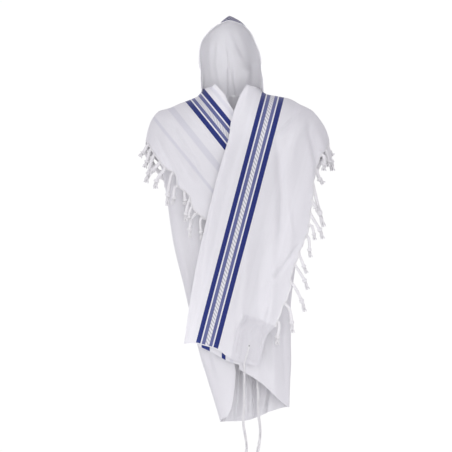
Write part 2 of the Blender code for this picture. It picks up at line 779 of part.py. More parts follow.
def add_fringe(run, collection, cutters, finish):
    """A narrow strip beside the cloth's end, cell for cell, with knotted tassels."""
    rows = run.stretch.rows

    def beside(row, distance):
        """On the straight lines that join the edge's corners."""
        j = min(int(row), rows - 1)
        above = beyond_edge(run.stretch.point, j / rows, distance)
        below = beyond_edge(run.stretch.point, (j + 1) / rows, distance)
        return above.lerp(below, row - j)

    def strip_point(column, row):
        return beside(mix(run.first, run.last, row), SEAM * 1.5 + EDGE_STRIP * column)

    def hang(row, tip=None):
        """One tassel's path, to its tip or straight down."""
        root = beside(row, EDGE_STRIP * 0.6)
        outward = (beside(row, 0.02) - beside(row, 0.0)).normalized()
        if tip is None:
            length = TASSEL_LENGTH * (1 + uneven(row, 0.14))
            tip = root + Vector((uneven(row + 0.37, 0.014), 0, -length)) + outward * 0.012
        else:
            tip = place(tip.x, 0.003 - root.y, tip.drop)
        return tassel(root, outward, tip)

    strip = sheet(run.name, collection, finish, 1, run.last - run.first, strip_point)
    paths = [hang(each.row, each) for each in run.tassels]
    travelled = TASSEL_PITCH * 0.6
    row, step = float(run.first), 0.05
    while not run.tassels and row < run.last - 3 * step:
        travelled += (beside(row + step, EDGE_STRIP) - beside(row, EDGE_STRIP)).length
        row += step
        if travelled >= TASSEL_PITCH:
            travelled = 0.0
            paths.append(hang(row))
    strands = yarns(run.name + "_strands", collection, finish, paths, YARN)
    fuse(strip, strands, cutters)


def tzitzit(name, collection, cutters, finish, eyelet, hem):
    """A corner tassel: a cord from the eyelet over the hem, wound and knotted, then strings."""
    down = Vector((0, 0, -1))
    stem = [(eyelet, 0.9), (eyelet.lerp(hem, 0.5), 0.9), (hem, 0.9)]
    knots = 4
    for knot in range(knots + 1):
        centre = hem + down * (TZITZIT_STEM * (knot + 0.45) / (knots + 0.5))
        stem.append((centre - down * 0.0055, 0.95))
        stem.append((centre, 1.5))
        stem.append((centre + down * 0.0055, 0.95))
    foot = stem[-1][0]
    body = yarns(name, collection, finish, [stem], 0.0030, 1)
    paths = []
    for number in range(4):
        turn = math.radians(45 + 90 * number)
        away = Vector((math.cos(turn), math.sin(turn), 0))
        length = TZITZIT_STRINGS * (1 + uneven(number + len(name), 0.05))
        path = [(foot - down * 0.004 + away * 0.0015, 1.0)]
        for share in (0.12, 0.4, 0.7, 1.0):
            bend = 0.0022 + 0.0035 * share + uneven(number + 3 * share + len(name), 0.0006)
            path.append((foot + down * length * share + away * bend, 1.0))
        paths.append(path)
    strands = yarns(name + "_strands", collection, finish, paths, STRING)
    fuse(body, strands, cutters)


# ---- the shawl ------------------------------------------------------------------------------


def add_cover(name, cover, collection, finish):
    def point(column, row):
        return covered(cover, column, row, cover.height)

    columns = cover.last_column - cover.first_column
    return sheet(name, collection, finish, columns, cover.last_row - cover.first_row, point)


def add_corner(corner, collection, cutters, twill, yarn):
    """A patch and the tzitzit that it holds."""
    add_cover(corner.name + "_patch", corner.cover, collection, twill)
    out = math.copysign(ON_PATCH, corner.cover.height)
    eyelet = covered(corner.cover, *corner.eyelet, out)
    hem = covered(corner.cover, *corner.hem, out)
    hem.y += corner.hang
    tzitzit(corner.name + "_tzitzit", collection, cutters, yarn, eyelet, hem)


def build():
    clear_scene()
    shawl = bpy.data.collections.new("tallit_prayer_shawl")
    cutters = bpy.data.collections.new("cutters")
    bpy.context.scene.collection.children.link(shawl)
    bpy.context.scene.collection.children.link(cutters)
    cutters.hide_render = True

    wool = material("white_wool", (0.80, 0.80, 0.82), 0.85)
    woven_band = material("woven_band", (0.42, 0.44, 0.58), 0.75)
    twill = material("white_twill", (0.84, 0.84, 0.86), 0.70)
    yarn = material("white_yarn", (0.82, 0.82, 0.82), 0.90)

    for stretch in STRETCHES:
        sheet(stretch.name, shawl, wool, stretch.columns, stretch.rows, stretch.point)
    add_cover("neckband", NECKBAND, shawl, woven_band)
    for run in RUNS:
        add_fringe(run, shawl, cutters, yarn)
    for corner in CORNERS:
        add_corner(corner, shawl, cutters, twill, yarn)


build()
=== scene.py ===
# %% [markdown]
# # A tallit prayer shawl, worn over the head
#
# A tallit is one long woven rectangle. Here its middle is drawn up over the head as a hood, and
# its two ends, the wings, come forward over the shoulders and cross on the chest. Knotted
# fringes run down both ends, and a long tzitzit hangs from a patch at each corner.
#
# Each cell below makes one kind of thing: first the shapes that cloth takes, then the finishes,
# then the cloth, the trim, the fringes and the cords, and last the light and the camera.

# %% Start with the fixed frame
import json
import math
from collections import namedtuple

import bmesh
import bpy
import numpy as np
from mathutils import Matrix, Vector, noise

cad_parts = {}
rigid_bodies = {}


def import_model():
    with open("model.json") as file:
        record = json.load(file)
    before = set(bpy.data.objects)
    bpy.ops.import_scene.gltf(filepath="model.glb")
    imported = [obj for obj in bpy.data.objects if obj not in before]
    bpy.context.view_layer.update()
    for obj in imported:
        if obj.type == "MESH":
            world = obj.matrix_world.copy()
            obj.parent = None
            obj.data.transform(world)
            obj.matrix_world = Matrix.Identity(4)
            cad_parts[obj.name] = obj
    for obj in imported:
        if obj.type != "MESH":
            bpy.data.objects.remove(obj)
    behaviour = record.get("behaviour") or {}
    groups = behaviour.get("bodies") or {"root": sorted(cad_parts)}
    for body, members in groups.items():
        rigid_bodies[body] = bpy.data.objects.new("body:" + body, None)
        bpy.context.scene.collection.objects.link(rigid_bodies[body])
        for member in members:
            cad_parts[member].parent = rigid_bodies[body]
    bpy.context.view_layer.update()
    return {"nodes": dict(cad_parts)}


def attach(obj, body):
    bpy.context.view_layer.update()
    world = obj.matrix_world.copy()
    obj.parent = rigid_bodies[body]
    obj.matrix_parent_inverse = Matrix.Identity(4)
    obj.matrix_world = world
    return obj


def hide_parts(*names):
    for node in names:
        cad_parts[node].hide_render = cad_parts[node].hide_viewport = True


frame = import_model()
print("frame holds", len(frame["nodes"]), "nodes")

# %% [markdown]
# ## How the cloth hangs
#
# Cloth that hangs from a head and two shoulders could be simulated, but where its stripes,
# edges and hems fall matters more than anything else here. So each stretch of cloth is a
# function: it takes a column (0 to 1 across) and a row (0 to 1 down) and gives a place. The
# functions read small tables of sizes along the body, with smooth curves between their rows.

# %% Driving sizes, in metres
LAYER = 0.0160  # from one wing to the wing that it crosses
TASSEL_PITCH = 0.044  # along the fringed edges behind
TASSEL_LENGTH = 0.095
TZITZIT_STEM = 0.110  # the bound part of a tzitzit
TZITZIT_STRINGS = 0.310  # and its free strings
SHOULDER_CURL = 0.130  # drop over which a wing turns from the top of the shoulder to the chest
print("layers lie", LAYER, "m apart, and a tzitzit is", TZITZIT_STEM + TZITZIT_STRINGS, "m long")

# %% Sections of the body wrap, the outer layer and the hood
# Body wrap: a tube of cloth round the body that narrows and drifts to the left lower down.
Tube = namedtuple("Tube", "drop right left front back")
TUBE = (
    Tube(0.400, 0.242, 0.262, 0.100, 0.120),
    Tube(0.485, 0.235, 0.258, 0.102, 0.124),
    Tube(0.620, 0.211, 0.247, 0.100, 0.120),
    Tube(0.730, 0.194, 0.235, 0.097, 0.116),
    Tube(0.860, 0.167, 0.219, 0.091, 0.110),
    Tube(0.988, 0.137, 0.206, 0.084, 0.102),
    Tube(1.130, 0.104, 0.207, 0.077, 0.094),
    Tube(1.250, 0.068, 0.204, 0.070, 0.088),
    Tube(1.380, 0.031, 0.196, 0.064, 0.082),
)

# Outer layer in front and behind: its half depth at the middle, over a broad oval.
Drape = namedtuple("Drape", "drop centre half_width front back")
DRAPE = (
    Drape(0.220, 0.010, 0.400, 0.132, 0.120),
    Drape(0.300, 0.010, 0.400, 0.143, 0.134),
    Drape(0.420, 0.012, 0.385, 0.155, 0.150),
    Drape(0.600, 0.016, 0.380, 0.156, 0.150),
    Drape(0.800, 0.020, 0.370, 0.148, 0.142),
    Drape(1.000, 0.030, 0.350, 0.136, 0.134),
    Drape(1.220, 0.040, 0.330, 0.124, 0.126),
)

# Hood: the front rim on each side, from its widest point down to the throat.
Rim = namedtuple("Rim", "share width forward drop turn")
RIGHT_RIM = (
    Rim(0.00, 0.1054, 0.105, 0.1615, 90.0),
    Rim(0.35, 0.1030, 0.105, 0.1840, 94.0),
    Rim(0.65, 0.0960, 0.106, 0.2040, 103.0),
    Rim(0.85, 0.0790, 0.106, 0.2210, 122.0),
    Rim(1.00, 0.0560, 0.102, 0.2420, 142.0),
)
LEFT_RIM = (
    Rim(0.00, 0.1064, 0.105, 0.1615, 90.0),
    Rim(0.35, 0.1070, 0.105, 0.1840, 94.0),
    Rim(0.65, 0.1000, 0.106, 0.2020, 103.0),
    Rim(0.85, 0.0820, 0.106, 0.2170, 122.0),
    Rim(1.00, 0.0590, 0.102, 0.2380, 142.0),
)

# Hood: the line from the forehead over the crown to the nape, seen from the side.
Crown = namedtuple("Crown", "share back drop")
CROWN = (
    Crown(0.00, -0.118, 0.0136),
    Crown(0.12, -0.085, 0.0040),
    Crown(0.25, -0.030, -0.0015),
    Crown(0.40, 0.042, 0.0120),
    Crown(0.55, 0.090, 0.0640),
    Crown(0.70, 0.108, 0.1300),
    Crown(0.85, 0.108, 0.2000),
    Crown(1.00, 0.100, 0.2640),
)
print("tables:", len(TUBE), "wrap sections,", len(DRAPE), "outer ones and", len(CROWN), "crown points")

# %% The two wings: their frames, shoulders and edges
# Each wing's frame, and how far its wall's middle lies outside the middle of the hood's wall.
CLOTH_FOLDS = 0.30  # the share of the solids' even folds that the cloth keeps under its creases
NECK_SHARE = 0.975  # how far down the hood the wings' tops are tucked in
NECK_TUCK = {"left": -0.0015, "right": -0.0030}
Wing = namedtuple("Wing", "name side x drop lean clear")
LEFT = Wing("left", 1, 0.148, 0.2706, -15.25, 0.0026)
RIGHT = Wing("right", -1, -0.114, 0.2706, 38.7, 0.0060)

# Top of the shoulder from the neck outwards, seen from the front.
Shoulder = namedtuple("Shoulder", "x drop")
LEFT_SHOULDER = (
    Shoulder(0.124, 0.2615),
    Shoulder(0.163, 0.2690),
    Shoulder(0.200, 0.2765),
    Shoulder(0.238, 0.2960),
    Shoulder(0.275, 0.3145),
    Shoulder(0.306, 0.3485),
    Shoulder(0.326, 0.3825),
    Shoulder(0.337, 0.4165),
)
RIGHT_SHOULDER = (
    Shoulder(-0.108, 0.2670),
    Shoulder(-0.136, 0.2805),
    Shoulder(-0.170, 0.2930),
    Shoulder(-0.204, 0.3080),
    Shoulder(-0.245, 0.3215),
    Shoulder(-0.264, 0.3450),
    Shoulder(-0.278, 0.3800),
    Shoulder(-0.286, 0.4180),
)

# Edges of each front wing in its own frame: how far across they lie at each length along it.
Edge = namedtuple("Edge", "along across")
LEFT_INNER = (
    Edge(-0.030, -0.092),
    Edge(0.022, -0.109),
    Edge(0.055, -0.114),
    Edge(0.120, -0.117),
    Edge(0.180, -0.109),
    Edge(0.280, -0.112),
    Edge(0.530, -0.107),
    Edge(0.690, -0.096),
    Edge(0.895, -0.0725),
)
LEFT_FRINGED = (
    Edge(0.090, 0.2200),
    Edge(0.176, 0.2060),
    Edge(0.236, 0.2070),
    Edge(0.365, 0.2240),
    Edge(0.434, 0.2270),
    Edge(0.540, 0.2140),
    Edge(0.620, 0.2200),
    Edge(0.740, 0.2060),
    Edge(0.895, 0.1950),
)
RIGHT_INNER = (
    Edge(-0.010, -0.069),
    Edge(0.026, -0.077),
    Edge(0.058, -0.078),
    Edge(0.083, -0.071),
    Edge(0.150, -0.066),
    Edge(0.360, -0.090),
)
RIGHT_FRINGED = (
    Edge(0.000, 0.2240),
    Edge(0.116, 0.2320),
    Edge(0.158, 0.2190),
    Edge(0.200, 0.2360),
    Edge(0.240, 0.2260),
    Edge(0.290, 0.2420),
    Edge(0.360, 0.2300),
)
LEFT_HEM_ALONG = 0.895
RIGHT_CROSSING = 0.360  # length along the right wing where it has gone under the left one
RIGHT_HEM = (Shoulder(0.040, 1.180), Shoulder(-0.107, 1.114))

# Behind the shoulders each wing falls towards the middle of the back, the left over the right.
BackEdge = namedtuple("BackEdge", "drop inner outer")
LEFT_BACK_EDGES = (
    BackEdge(0.300, 0.078, 0.345),
    BackEdge(0.420, 0.030, 0.335),
    BackEdge(0.520, -0.010, 0.235),
    BackEdge(0.640, -0.032, 0.190),
    BackEdge(0.780, -0.042, 0.160),
    BackEdge(0.960, -0.044, 0.136),
)
RIGHT_BACK_EDGES = (
    BackEdge(0.300, -0.065, -0.300),
    BackEdge(0.420, -0.020, -0.284),
    BackEdge(0.520, 0.020, -0.190),
    BackEdge(0.640, 0.052, -0.148),
    BackEdge(0.780, 0.078, -0.120),
    BackEdge(0.960, 0.090, -0.090),
)
BACK_INNER_HEM = 0.930
BACK_OUTER_HEM = 0.890
BACK_INNER_ACROSS = -0.105  # cloth between the stripes and the inner edge, lower down
BACK_OUTER_ACROSS = 0.22  # and from the stripes to the fringe
print("the left wing leans", LEFT.lean, "degrees, and the right one", RIGHT.lean)

# %% Broad folds of the wings
# Soft folds: a ridge across the cloth at the top and foot of its run, in metres, with the rows
# that it starts and ends at, its width and its height.
Fold = namedtuple("Fold", "top foot start end width height")
LEFT_FRONT_FOLDS = (
    Fold(-0.090, -0.062, 0.05, 1.00, 0.014, 0.010),
    Fold(-0.062, -0.050, 0.20, 0.95, 0.011, -0.005),
    Fold(0.075, 0.120, 0.12, 0.80, 0.022, -0.008),
    Fold(0.120, 0.090, 0.10, 1.00, 0.024, 0.010),
    Fold(0.165, 0.150, 0.15, 0.85, 0.016, -0.007),
    Fold(0.195, 0.185, 0.10, 1.00, 0.016, 0.007),
    Fold(0.050, 0.075, 0.60, 1.00, 0.016, 0.007),
)
RIGHT_FRONT_FOLDS = (
    Fold(-0.052, -0.040, 0.05, 0.50, 0.014, 0.004),
    Fold(0.070, 0.075, 0.04, 0.80, 0.016, -0.006),
    Fold(0.110, 0.110, 0.04, 0.60, 0.020, 0.007),
    Fold(0.150, 0.150, 0.06, 0.60, 0.014, -0.006),
    Fold(0.185, 0.190, 0.06, 0.60, 0.020, 0.007),
)
BACK_WING_FOLDS = (
    Fold(0.060, 0.070, 0.15, 1.00, 0.020, 0.007),
    Fold(0.110, 0.125, 0.15, 1.00, 0.022, -0.006),
    Fold(0.160, 0.170, 0.15, 1.00, 0.020, 0.008),
)
for title, folds in (("left", LEFT_FRONT_FOLDS), ("right", RIGHT_FRONT_FOLDS), ("behind", BACK_WING_FOLDS)):
    print("broad folds,", title, len(folds))

# %% Where the fringe's tassels hang in front
# Tassels of the front fringes: the row of cells that each leaves, and where its tip hangs.
Tassel = namedtuple("Tassel", "row x drop")
LEFT_TASSELS = (
    Tassel(1.40, 0.3502, 0.4709),
    Tassel(2.10, 0.3468, 0.5219),
    Tassel(3.10, 0.3300, 0.5090),
    Tassel(4.15, 0.3162, 0.5219),
    Tassel(5.50, 0.3162, 0.5661),
    Tassel(6.60, 0.3162, 0.7123),
    Tassel(7.40, 0.2960, 0.6600),
    Tassel(8.30, 0.3128, 0.7531),
    Tassel(9.20, 0.2860, 0.7560),
    Tassel(10.0, 0.2720, 0.8143),
    Tassel(11.2, 0.2584, 0.8687),
    Tassel(12.2, 0.2618, 0.9231),
    Tassel(13.5, 0.2516, 0.9979),
    Tassel(15.1, 0.2108, 1.0693),
    Tassel(16.6, 0.1598, 1.1101),
)
RIGHT_TASSELS = (
    Tassel(1.90, -0.3060, 0.4743),
    Tassel(2.65, -0.2900, 0.5117),
    Tassel(3.50, -0.2850, 0.5627),
    Tassel(4.40, -0.2754, 0.5355),
    Tassel(5.20, -0.2516, 0.5831),
    Tassel(6.00, -0.2108, 0.6409),
    Tassel(7.10, -0.1938, 0.6375),
    Tassel(7.80, -0.1540, 0.6375),
    Tassel(8.50, -0.1496, 0.6953),
    Tassel(9.20, -0.1292, 0.6953),
    Tassel(9.90, -0.1340, 0.7497),
    Tassel(10.6, -0.0952, 0.7565),
)
print("front tassels:", len(LEFT_TASSELS), "left and", len(RIGHT_TASSELS), "right")


# %% Small mathematics
def read(table, key, value, at):
    """The named value at a place along the table, on a smooth curve through its rows."""
    xs = [getattr(row, key) for row in table]
    ys = [getattr(row, value) for row in table]
    at = min(max(at, xs[0]), xs[-1])
    i = next((n for n in range(len(xs) - 2) if at <= xs[n + 1]), len(xs) - 2)
    steps = [(ys[n + 1] - ys[n]) / (xs[n + 1] - xs[n]) for n in range(len(xs) - 1)]

    def slope(n):
        if n == 0 or n == len(xs) - 1:
            return steps[min(n, len(steps) - 1)]
        before, after = steps[n - 1], steps[n]
        return 0.0 if before * after <= 0 else 2 * before * after / (before + after)

    width = xs[i + 1] - xs[i]
    u = (at - xs[i]) / width
    start = (1 + 2 * u) * (1 - u) ** 2 * ys[i] + u * (1 - u) ** 2 * width * slope(i)
    end = u * u * (3 - 2 * u) * ys[i + 1] - u * u * (1 - u) * width * slope(i + 1)
    return start + end


def ease(start, end, at):
    """0 before the start, 1 after the end, and smooth between them."""
    u = min(max((at - start) / (end - start), 0.0), 1.0)
    return u * u * (3 - 2 * u)


def mix(a, b, share):
    return a + (b - a) * share


def bell(distance, width):
    return math.exp(-((distance / width) ** 2))


def fold_height(folds, across, row):
    """How far the folds lift the cloth at a place across it and a row down it."""
    height = 0.0
    for fold in folds:
        middle = mix(fold.top, fold.foot, row)
        fade = ease(fold.start, fold.start + 0.12, row) * (1 - ease(fold.end, fold.end + 0.15, row))
        height += fold.height * fade * bell(across - middle, fold.width)
    return height


def place(x, forward, drop):
    """A place given as x, how far forward it lies, and how far below the crown."""
    return Vector((x, -forward, -drop))


print("a quarter of the way, a smooth start has come to", ease(0.0, 1.0, 0.25))

# %% [markdown]
# ## The hood, the body wrap and the wings as functions
#
# The hood is a swept arch whose foot closes round the neck. The body wrap is a tube that narrows
# and drifts to one side lower down. Each wing has a flat frame of its own: "along" runs down its
# stripes and "across" runs from their middle to the fringe.


# %% Hood
def hood_point(turn, share, rims=None):
    """A point of the hood: turn runs from -1, the right rim, over the top to 1, the left rim,
    and share from 0, the front rim, to 1, the nape."""
    right, left = rims or (RIGHT_RIM, LEFT_RIM)
    rim = left if turn >= 0 else right
    most = math.radians(read(rim, "share", "turn", share))
    angle = abs(turn) * most
    width = read(rim, "share", "width", share) / math.sin(most)
    end_forward = read(rim, "share", "forward", share)
    end_drop = read(rim, "share", "drop", share)
    top_forward = -read(CROWN, "share", "back", share)
    top_drop = read(CROWN, "share", "drop", share)
    cosine = math.cos(most)
    middle_forward = (end_forward - top_forward * cosine) / (1 - cosine)
    middle_drop = (end_drop - top_drop * cosine) / (1 - cosine)
    x = math.copysign(width * math.sin(angle), turn)
    forward = mix(middle_forward, top_forward, math.cos(angle))
    drop = mix(middle_drop, top_drop, math.cos(angle))
    peak = 0.010 * bell(x + 0.002, 0.016) * bell(share - 0.10, 0.09)
    crease = 0.014 * bell(x + 0.006, 0.012) * ease(0.45, 0.85, share)
    side_folds = 0.004 * math.sin(9 * angle + 2 * share) * ease(0.1, 0.4, share) * abs(turn)
    return place(x * (1 - side_folds / 0.10), forward + crease, drop - peak)


print("the hood's top lies at", round(hood_point(0.0, CROWN[2].share).z, 4), "m")


# %% Body wrap
def tube_point(angle, drop):
    """A point of the body wrap: 0 degrees is the middle of the back, 90 the wearer's left."""
    left, right = read(TUBE, "drop", "left", drop), read(TUBE, "drop", "right", drop)
    turn = math.radians(angle)
    half_width = (left + right) / 2
    depth = read(TUBE, "drop", "front" if abs(angle) > 90 else "back", drop)
    waves = 1 + 0.030 * math.sin(5 * turn + 0.6) * ease(0.55, 1.0, drop)
    waves += 0.020 * math.sin(9 * turn - 0.8) * ease(0.70, 1.3, drop)
    x = (left - right) / 2 + half_width * math.sin(turn)
    return place(x, -depth * waves * math.cos(turn), drop)


# How low each hem hangs, and how far it rises towards its other end.
BACK_HEM, BACK_HEM_RISE = 1.3755, 0.052
LEFT_WRAP_HEM, LEFT_WRAP_RISE = 1.3243, 0.136
RIGHT_WRAP_HEM, RIGHT_WRAP_RISE = 1.3617, 0.075


def back_hem(x):
    """Drop of the hem behind: lowest on the wearer's right and rising to the left."""
    return BACK_HEM - BACK_HEM_RISE * ease(0.03, 0.215, x)


BACK_SPREAD = 62.0  # degrees that the back panel covers on each side
WRAP_START = BACK_SPREAD
LEFT_WRAP_END = 186.0
RIGHT_WRAP_END = 163.0
NAPE = 0.2652  # top of the back panel, just under the hood's foot
BODY_ROWS = 18
WRAP_FIRST_ROW = 3  # the wraps start this far down the back panel's rows
FOOT = 1.33  # drop at which a hem's place across is read


def body_drop(hem, row):
    return mix(NAPE, hem, row / BODY_ROWS)


def wrap_drop(hem, row):
    return body_drop(hem, mix(WRAP_FIRST_ROW, BODY_ROWS, row))


def back_panel_point(column, row):
    angle = mix(-BACK_SPREAD, BACK_SPREAD, column)
    drop = body_drop(back_hem(tube_point(angle, FOOT).x), row * BODY_ROWS)
    body = tube_point(angle, max(drop, 0.40))
    body.z = -drop
    rim = LEFT_RIM if angle >= 0 else RIGHT_RIM
    neck = hood_point(angle / rim[-1].turn, 1.0)
    neck.z = -drop
    return neck.lerp(body, ease(NAPE, 0.43, drop))


def left_wrap_point(column, row):
    """From the left side seam round to an edge near the middle of the front. Its hem rises
    from the side to the middle."""
    angle = mix(WRAP_START, LEFT_WRAP_END, column)
    foot_x = tube_point(angle, FOOT).x
    front_hem = LEFT_WRAP_HEM - LEFT_WRAP_RISE * (1 - (foot_x - 0.034) / 0.163)
    hem = mix(back_hem(foot_x), front_hem, ease(90, 112, angle))
    point = tube_point(angle, wrap_drop(hem, row))
    point.y -= 0.016 * ease(115, 165, angle)
    return point


def right_wrap_point(column, row):
    """From the right side seam round to its front edge, which ends in a rounded corner."""
    angle = mix(WRAP_START, RIGHT_WRAP_END, column)
    foot_x = tube_point(-angle, FOOT).x
    front_hem = RIGHT_WRAP_HEM - RIGHT_WRAP_RISE * (max(foot_x + 0.037, 0.0) / 0.057) ** 2.4
    hem = mix(back_hem(foot_x), front_hem, ease(90, 120, angle))
    return tube_point(-angle, wrap_drop(hem, row))


print("the hem behind hangs at", round(back_hem(0.0), 4), "m below the crown")


# %% Wings
def flat_place(wing, across, along):
    """(x, drop) of a place given in the wing's own frame."""
    lean = math.radians(wing.lean)
    x = wing.x + along * math.sin(lean) + wing.side * across * math.cos(lean)
    drop = wing.drop + along * math.cos(lean) - wing.side * across * math.sin(lean)
    return x, drop


def in_frame(wing, x, drop):
    """(across, along) of a place given as x and drop."""
    lean = math.radians(wing.lean)
    dx, down = x - wing.x, drop - wing.drop
    along = dx * math.sin(lean) + down * math.cos(lean)
    across = wing.side * (dx * math.cos(lean) - down * math.sin(lean))
    return across, along


def drape_depth(x, drop, value):
    """Half depth of the outer layer at a place in the front view."""
    centre = read(DRAPE, "drop", "centre", drop)
    half_width = read(DRAPE, "drop", "half_width", drop)
    share = min(abs(x - centre) / half_width, 0.97)
    return read(DRAPE, "drop", value, drop) * math.sqrt(1 - share * share)


NECK_SIDE = 0.70  # turn of the hood's foot where a wing's front and back stretches meet
NECK_BACK = 0.40  # and where its back stretch ends, behind the neck


def neck_point(wing, turn):
    """Just inside the foot of the hood, whose cloth falls over the wing there."""
    neck = hood_point(wing.side * turn, NECK_SHARE)
    return neck + Vector((neck.x, neck.y + 0.02, 0)).normalized() * NECK_TUCK[wing.name]


Top = namedtuple("Top", "across along forward")


def top_line(wing):
    """Top edge of a wing: round the front of the hood's foot, then out along the shoulder."""
    line = []
    for turn in (1.0, 0.86, NECK_SIDE):
        point = neck_point(wing, turn)
        line.append(Top(*in_frame(wing, point.x, -point.z), -point.y))
    for row in LEFT_SHOULDER if wing is LEFT else RIGHT_SHOULDER:
        line.append(Top(*in_frame(wing, row.x, row.drop), 0.0))
    return line


TOP_LINES = {wing.name: top_line(wing) for wing in (LEFT, RIGHT)}
Ridge = namedtuple("Ridge", "share x forward drop")
NECK_STEPS, SHOULDER_STEPS = 3, 24  # steps of a ridge behind the neck, then along the shoulder


def back_ridge(wing):
    """Top edge of a wing's back stretch, from behind the neck outwards, by its share of the
    way along it."""
    top = TOP_LINES[wing.name]
    turns = (mix(NECK_BACK, NECK_SIDE, step / NECK_STEPS) for step in range(NECK_STEPS))
    points = [neck_point(wing, turn) for turn in turns]
    for step in range(SHOULDER_STEPS + 1):
        across = mix(top[2].across, top[-1].across, step / SHOULDER_STEPS)
        x, drop = flat_place(wing, across, read(top, "across", "along", across))
        points.append(place(x, read(top, "across", "forward", across), drop))
    lengths = [0.0]
    for first, second in zip(points, points[1:]):
        lengths.append(lengths[-1] + (second - first).length)
    return [Ridge(at / lengths[-1], p.x, -p.y, -p.z) for at, p in zip(lengths, points)]


BACK_RIDGES = {wing.name: back_ridge(wing) for wing in (LEFT, RIGHT)}


def curled(wing, across, row, share, end_along):
    """(along, forward share) at a row: the first rows turn over the shoulder."""
    top = TOP_LINES[wing.name]
    start = read(top, "across", "along", across)
    if row < share:
        turn = row / share * math.pi / 2
        return start + SHOULDER_CURL * (1 - math.cos(turn)), math.sin(turn)
    return mix(start + SHOULDER_CURL, end_along, (row - share) / (1 - share)), 1.0


def corner_tuck(along):
    """How far the edge is drawn in: raggedly by its tassels, and more at the corner."""
    tuck = 0.0125 * ease(0.745, 0.79, along) * (1 - 0.65 * ease(0.80, 0.90, along))
    ragged = 0.0020 * math.sin(58 * along) + 0.0016 * math.sin(131 * along + 1.0)
    return tuck + ragged * (1 - ease(0.74, 0.80, along))


def left_hem(across):
    """The hem rides up a little where the stripes end."""
    return LEFT_HEM_ALONG - 0.0215 * math.exp(-((across / 0.074) ** 4))


def left_front_flat(column, row):
    """(across, along, forward share) on the left wing's front."""
    across = mix(-0.092, 0.2200, column)
    for _ in range(3):
        along, curl = curled(LEFT, across, row, 0.28, left_hem(across))
        inner = read(LEFT_INNER, "along", "across", along)
        outer = read(LEFT_FRINGED, "along", "across", along) - corner_tuck(along)
        across = mix(inner, outer, column)
    return across, along, curl


def left_front_point(column, row):
    across, along, curl = left_front_flat(column, row)
    x, drop = flat_place(LEFT, across, along)
    first = read(TOP_LINES["left"], "across", "forward", across)
    depth = drape_depth(x, drop, "front")
    forward = mix(first, depth, curl)
    forward += CLOTH_FOLDS * fold_height(LEFT_FRONT_FOLDS, across, row) * ease(0.0, 0.5, curl)
    return place(x, forward, drop)


def right_front_flat(column, row):
    """(across, along, forward share) on the upper part of the right wing's front."""
    across = mix(-0.069, 0.2240, column)
    for _ in range(3):
        along, curl = curled(RIGHT, across, row, 0.5, RIGHT_CROSSING)
        inner = read(RIGHT_INNER, "along", "across", along)
        outer = read(RIGHT_FRINGED, "along", "across", along)
        across = mix(inner, outer, column)
    return across, along, curl


RIGHT_UPPER = 0.56  # share of the right wing's rows that lie above its crossing


def right_front_point(column, row):
    upper = min(row / RIGHT_UPPER, 1.0)
    across, along, curl = right_front_flat(column, upper)
    x, drop = flat_place(RIGHT, across, along)
    if row > RIGHT_UPPER:
        down = (row - RIGHT_UPPER) / (1 - RIGHT_UPPER)
        hem_x = mix(RIGHT_HEM[0].x, RIGHT_HEM[1].x, column)
        hem_drop = mix(RIGHT_HEM[0].drop, RIGHT_HEM[1].drop, column)
        hem_drop += 0.006 * bell(column - 0.35, 0.25)
        lean = math.radians(RIGHT.lean)
        reach = 0.10 * down * (1 - down) ** 2
        x = mix(x, hem_x, ease(0.0, 1.0, down)) + reach * math.sin(lean)
        drop = mix(drop, hem_drop, down)
    first = read(TOP_LINES["right"], "across", "forward", across)
    depth = drape_depth(x, drop, "front") - LAYER
    forward = mix(first, depth, curl)
    forward += CLOTH_FOLDS * fold_height(RIGHT_FRONT_FOLDS, across, row) * ease(0.0, 0.5, curl)
    return place(x, forward, drop)


BACK_CURL_ROWS = 0.34  # share of the back stretches' rows that turn over the shoulder


def back_point(wing, edges, layer, column, row):
    """A wing's stretch behind the shoulder."""
    ridge = BACK_RIDGES[wing.name]
    start_x = read(ridge, "share", "x", column)
    start_forward = read(ridge, "share", "forward", column)
    start_drop = read(ridge, "share", "drop", column)
    if row < BACK_CURL_ROWS:
        turn = row / BACK_CURL_ROWS * math.pi / 2
        drop, curl = start_drop + SHOULDER_CURL * (1 - math.cos(turn)), math.sin(turn)
    else:
        hem = mix(BACK_INNER_HEM, BACK_OUTER_HEM, column)
        down = (row - BACK_CURL_ROWS) / (1 - BACK_CURL_ROWS)
        drop, curl = mix(start_drop + SHOULDER_CURL, hem, down), 1.0
    inner, outer = read(edges, "drop", "inner", drop), read(edges, "drop", "outer", drop)
    x = mix(start_x, mix(inner, outer, column), ease(0.0, 0.40, row))
    cloth = mix(mix(-0.03, BACK_INNER_ACROSS, ease(0.1, 0.6, row)), BACK_OUTER_ACROSS, column)
    lift = fold_height(BACK_WING_FOLDS, cloth, row)
    depth = drape_depth(x, drop, "back") - layer
    backward = mix(-start_forward, depth, curl) + lift * curl
    return place(x, -backward, drop)


def left_back_point(column, row):
    return back_point(LEFT, LEFT_BACK_EDGES, 0.0, column, row)


def right_back_point(column, row):
    return back_point(RIGHT, RIGHT_BACK_EDGES, LAYER, column, row)


hem_corner = left_front_point(1.0, 1.0)
print("the left wing's fringed corner hangs at", [round(v, 3) for v in hem_corner])

# %% Cells, covers, fringe runs and corners
# The cells that a stretch of cloth is counted in, across and down.
Stretch = namedtuple("Stretch", "columns rows")
HOOD = Stretch(28, 16)
LEFT_WRAP = Stretch(12, BODY_ROWS - WRAP_FIRST_ROW)
LEFT_FRONT = Stretch(24, 20)
RIGHT_FRONT = Stretch(18, 20)
LEFT_BACK = Stretch(14, 14)
RIGHT_BACK = Stretch(14, 14)

# Cells of a stretch that a trim covers, and the face of the cloth that it lies on.
OUTSIDE, INSIDE = 1, -1
Cover = namedtuple("Cover", "stretch first_column last_column first_row last_row face")
NECKBAND = Cover(HOOD, 5, 23, 0, 5, OUTSIDE)

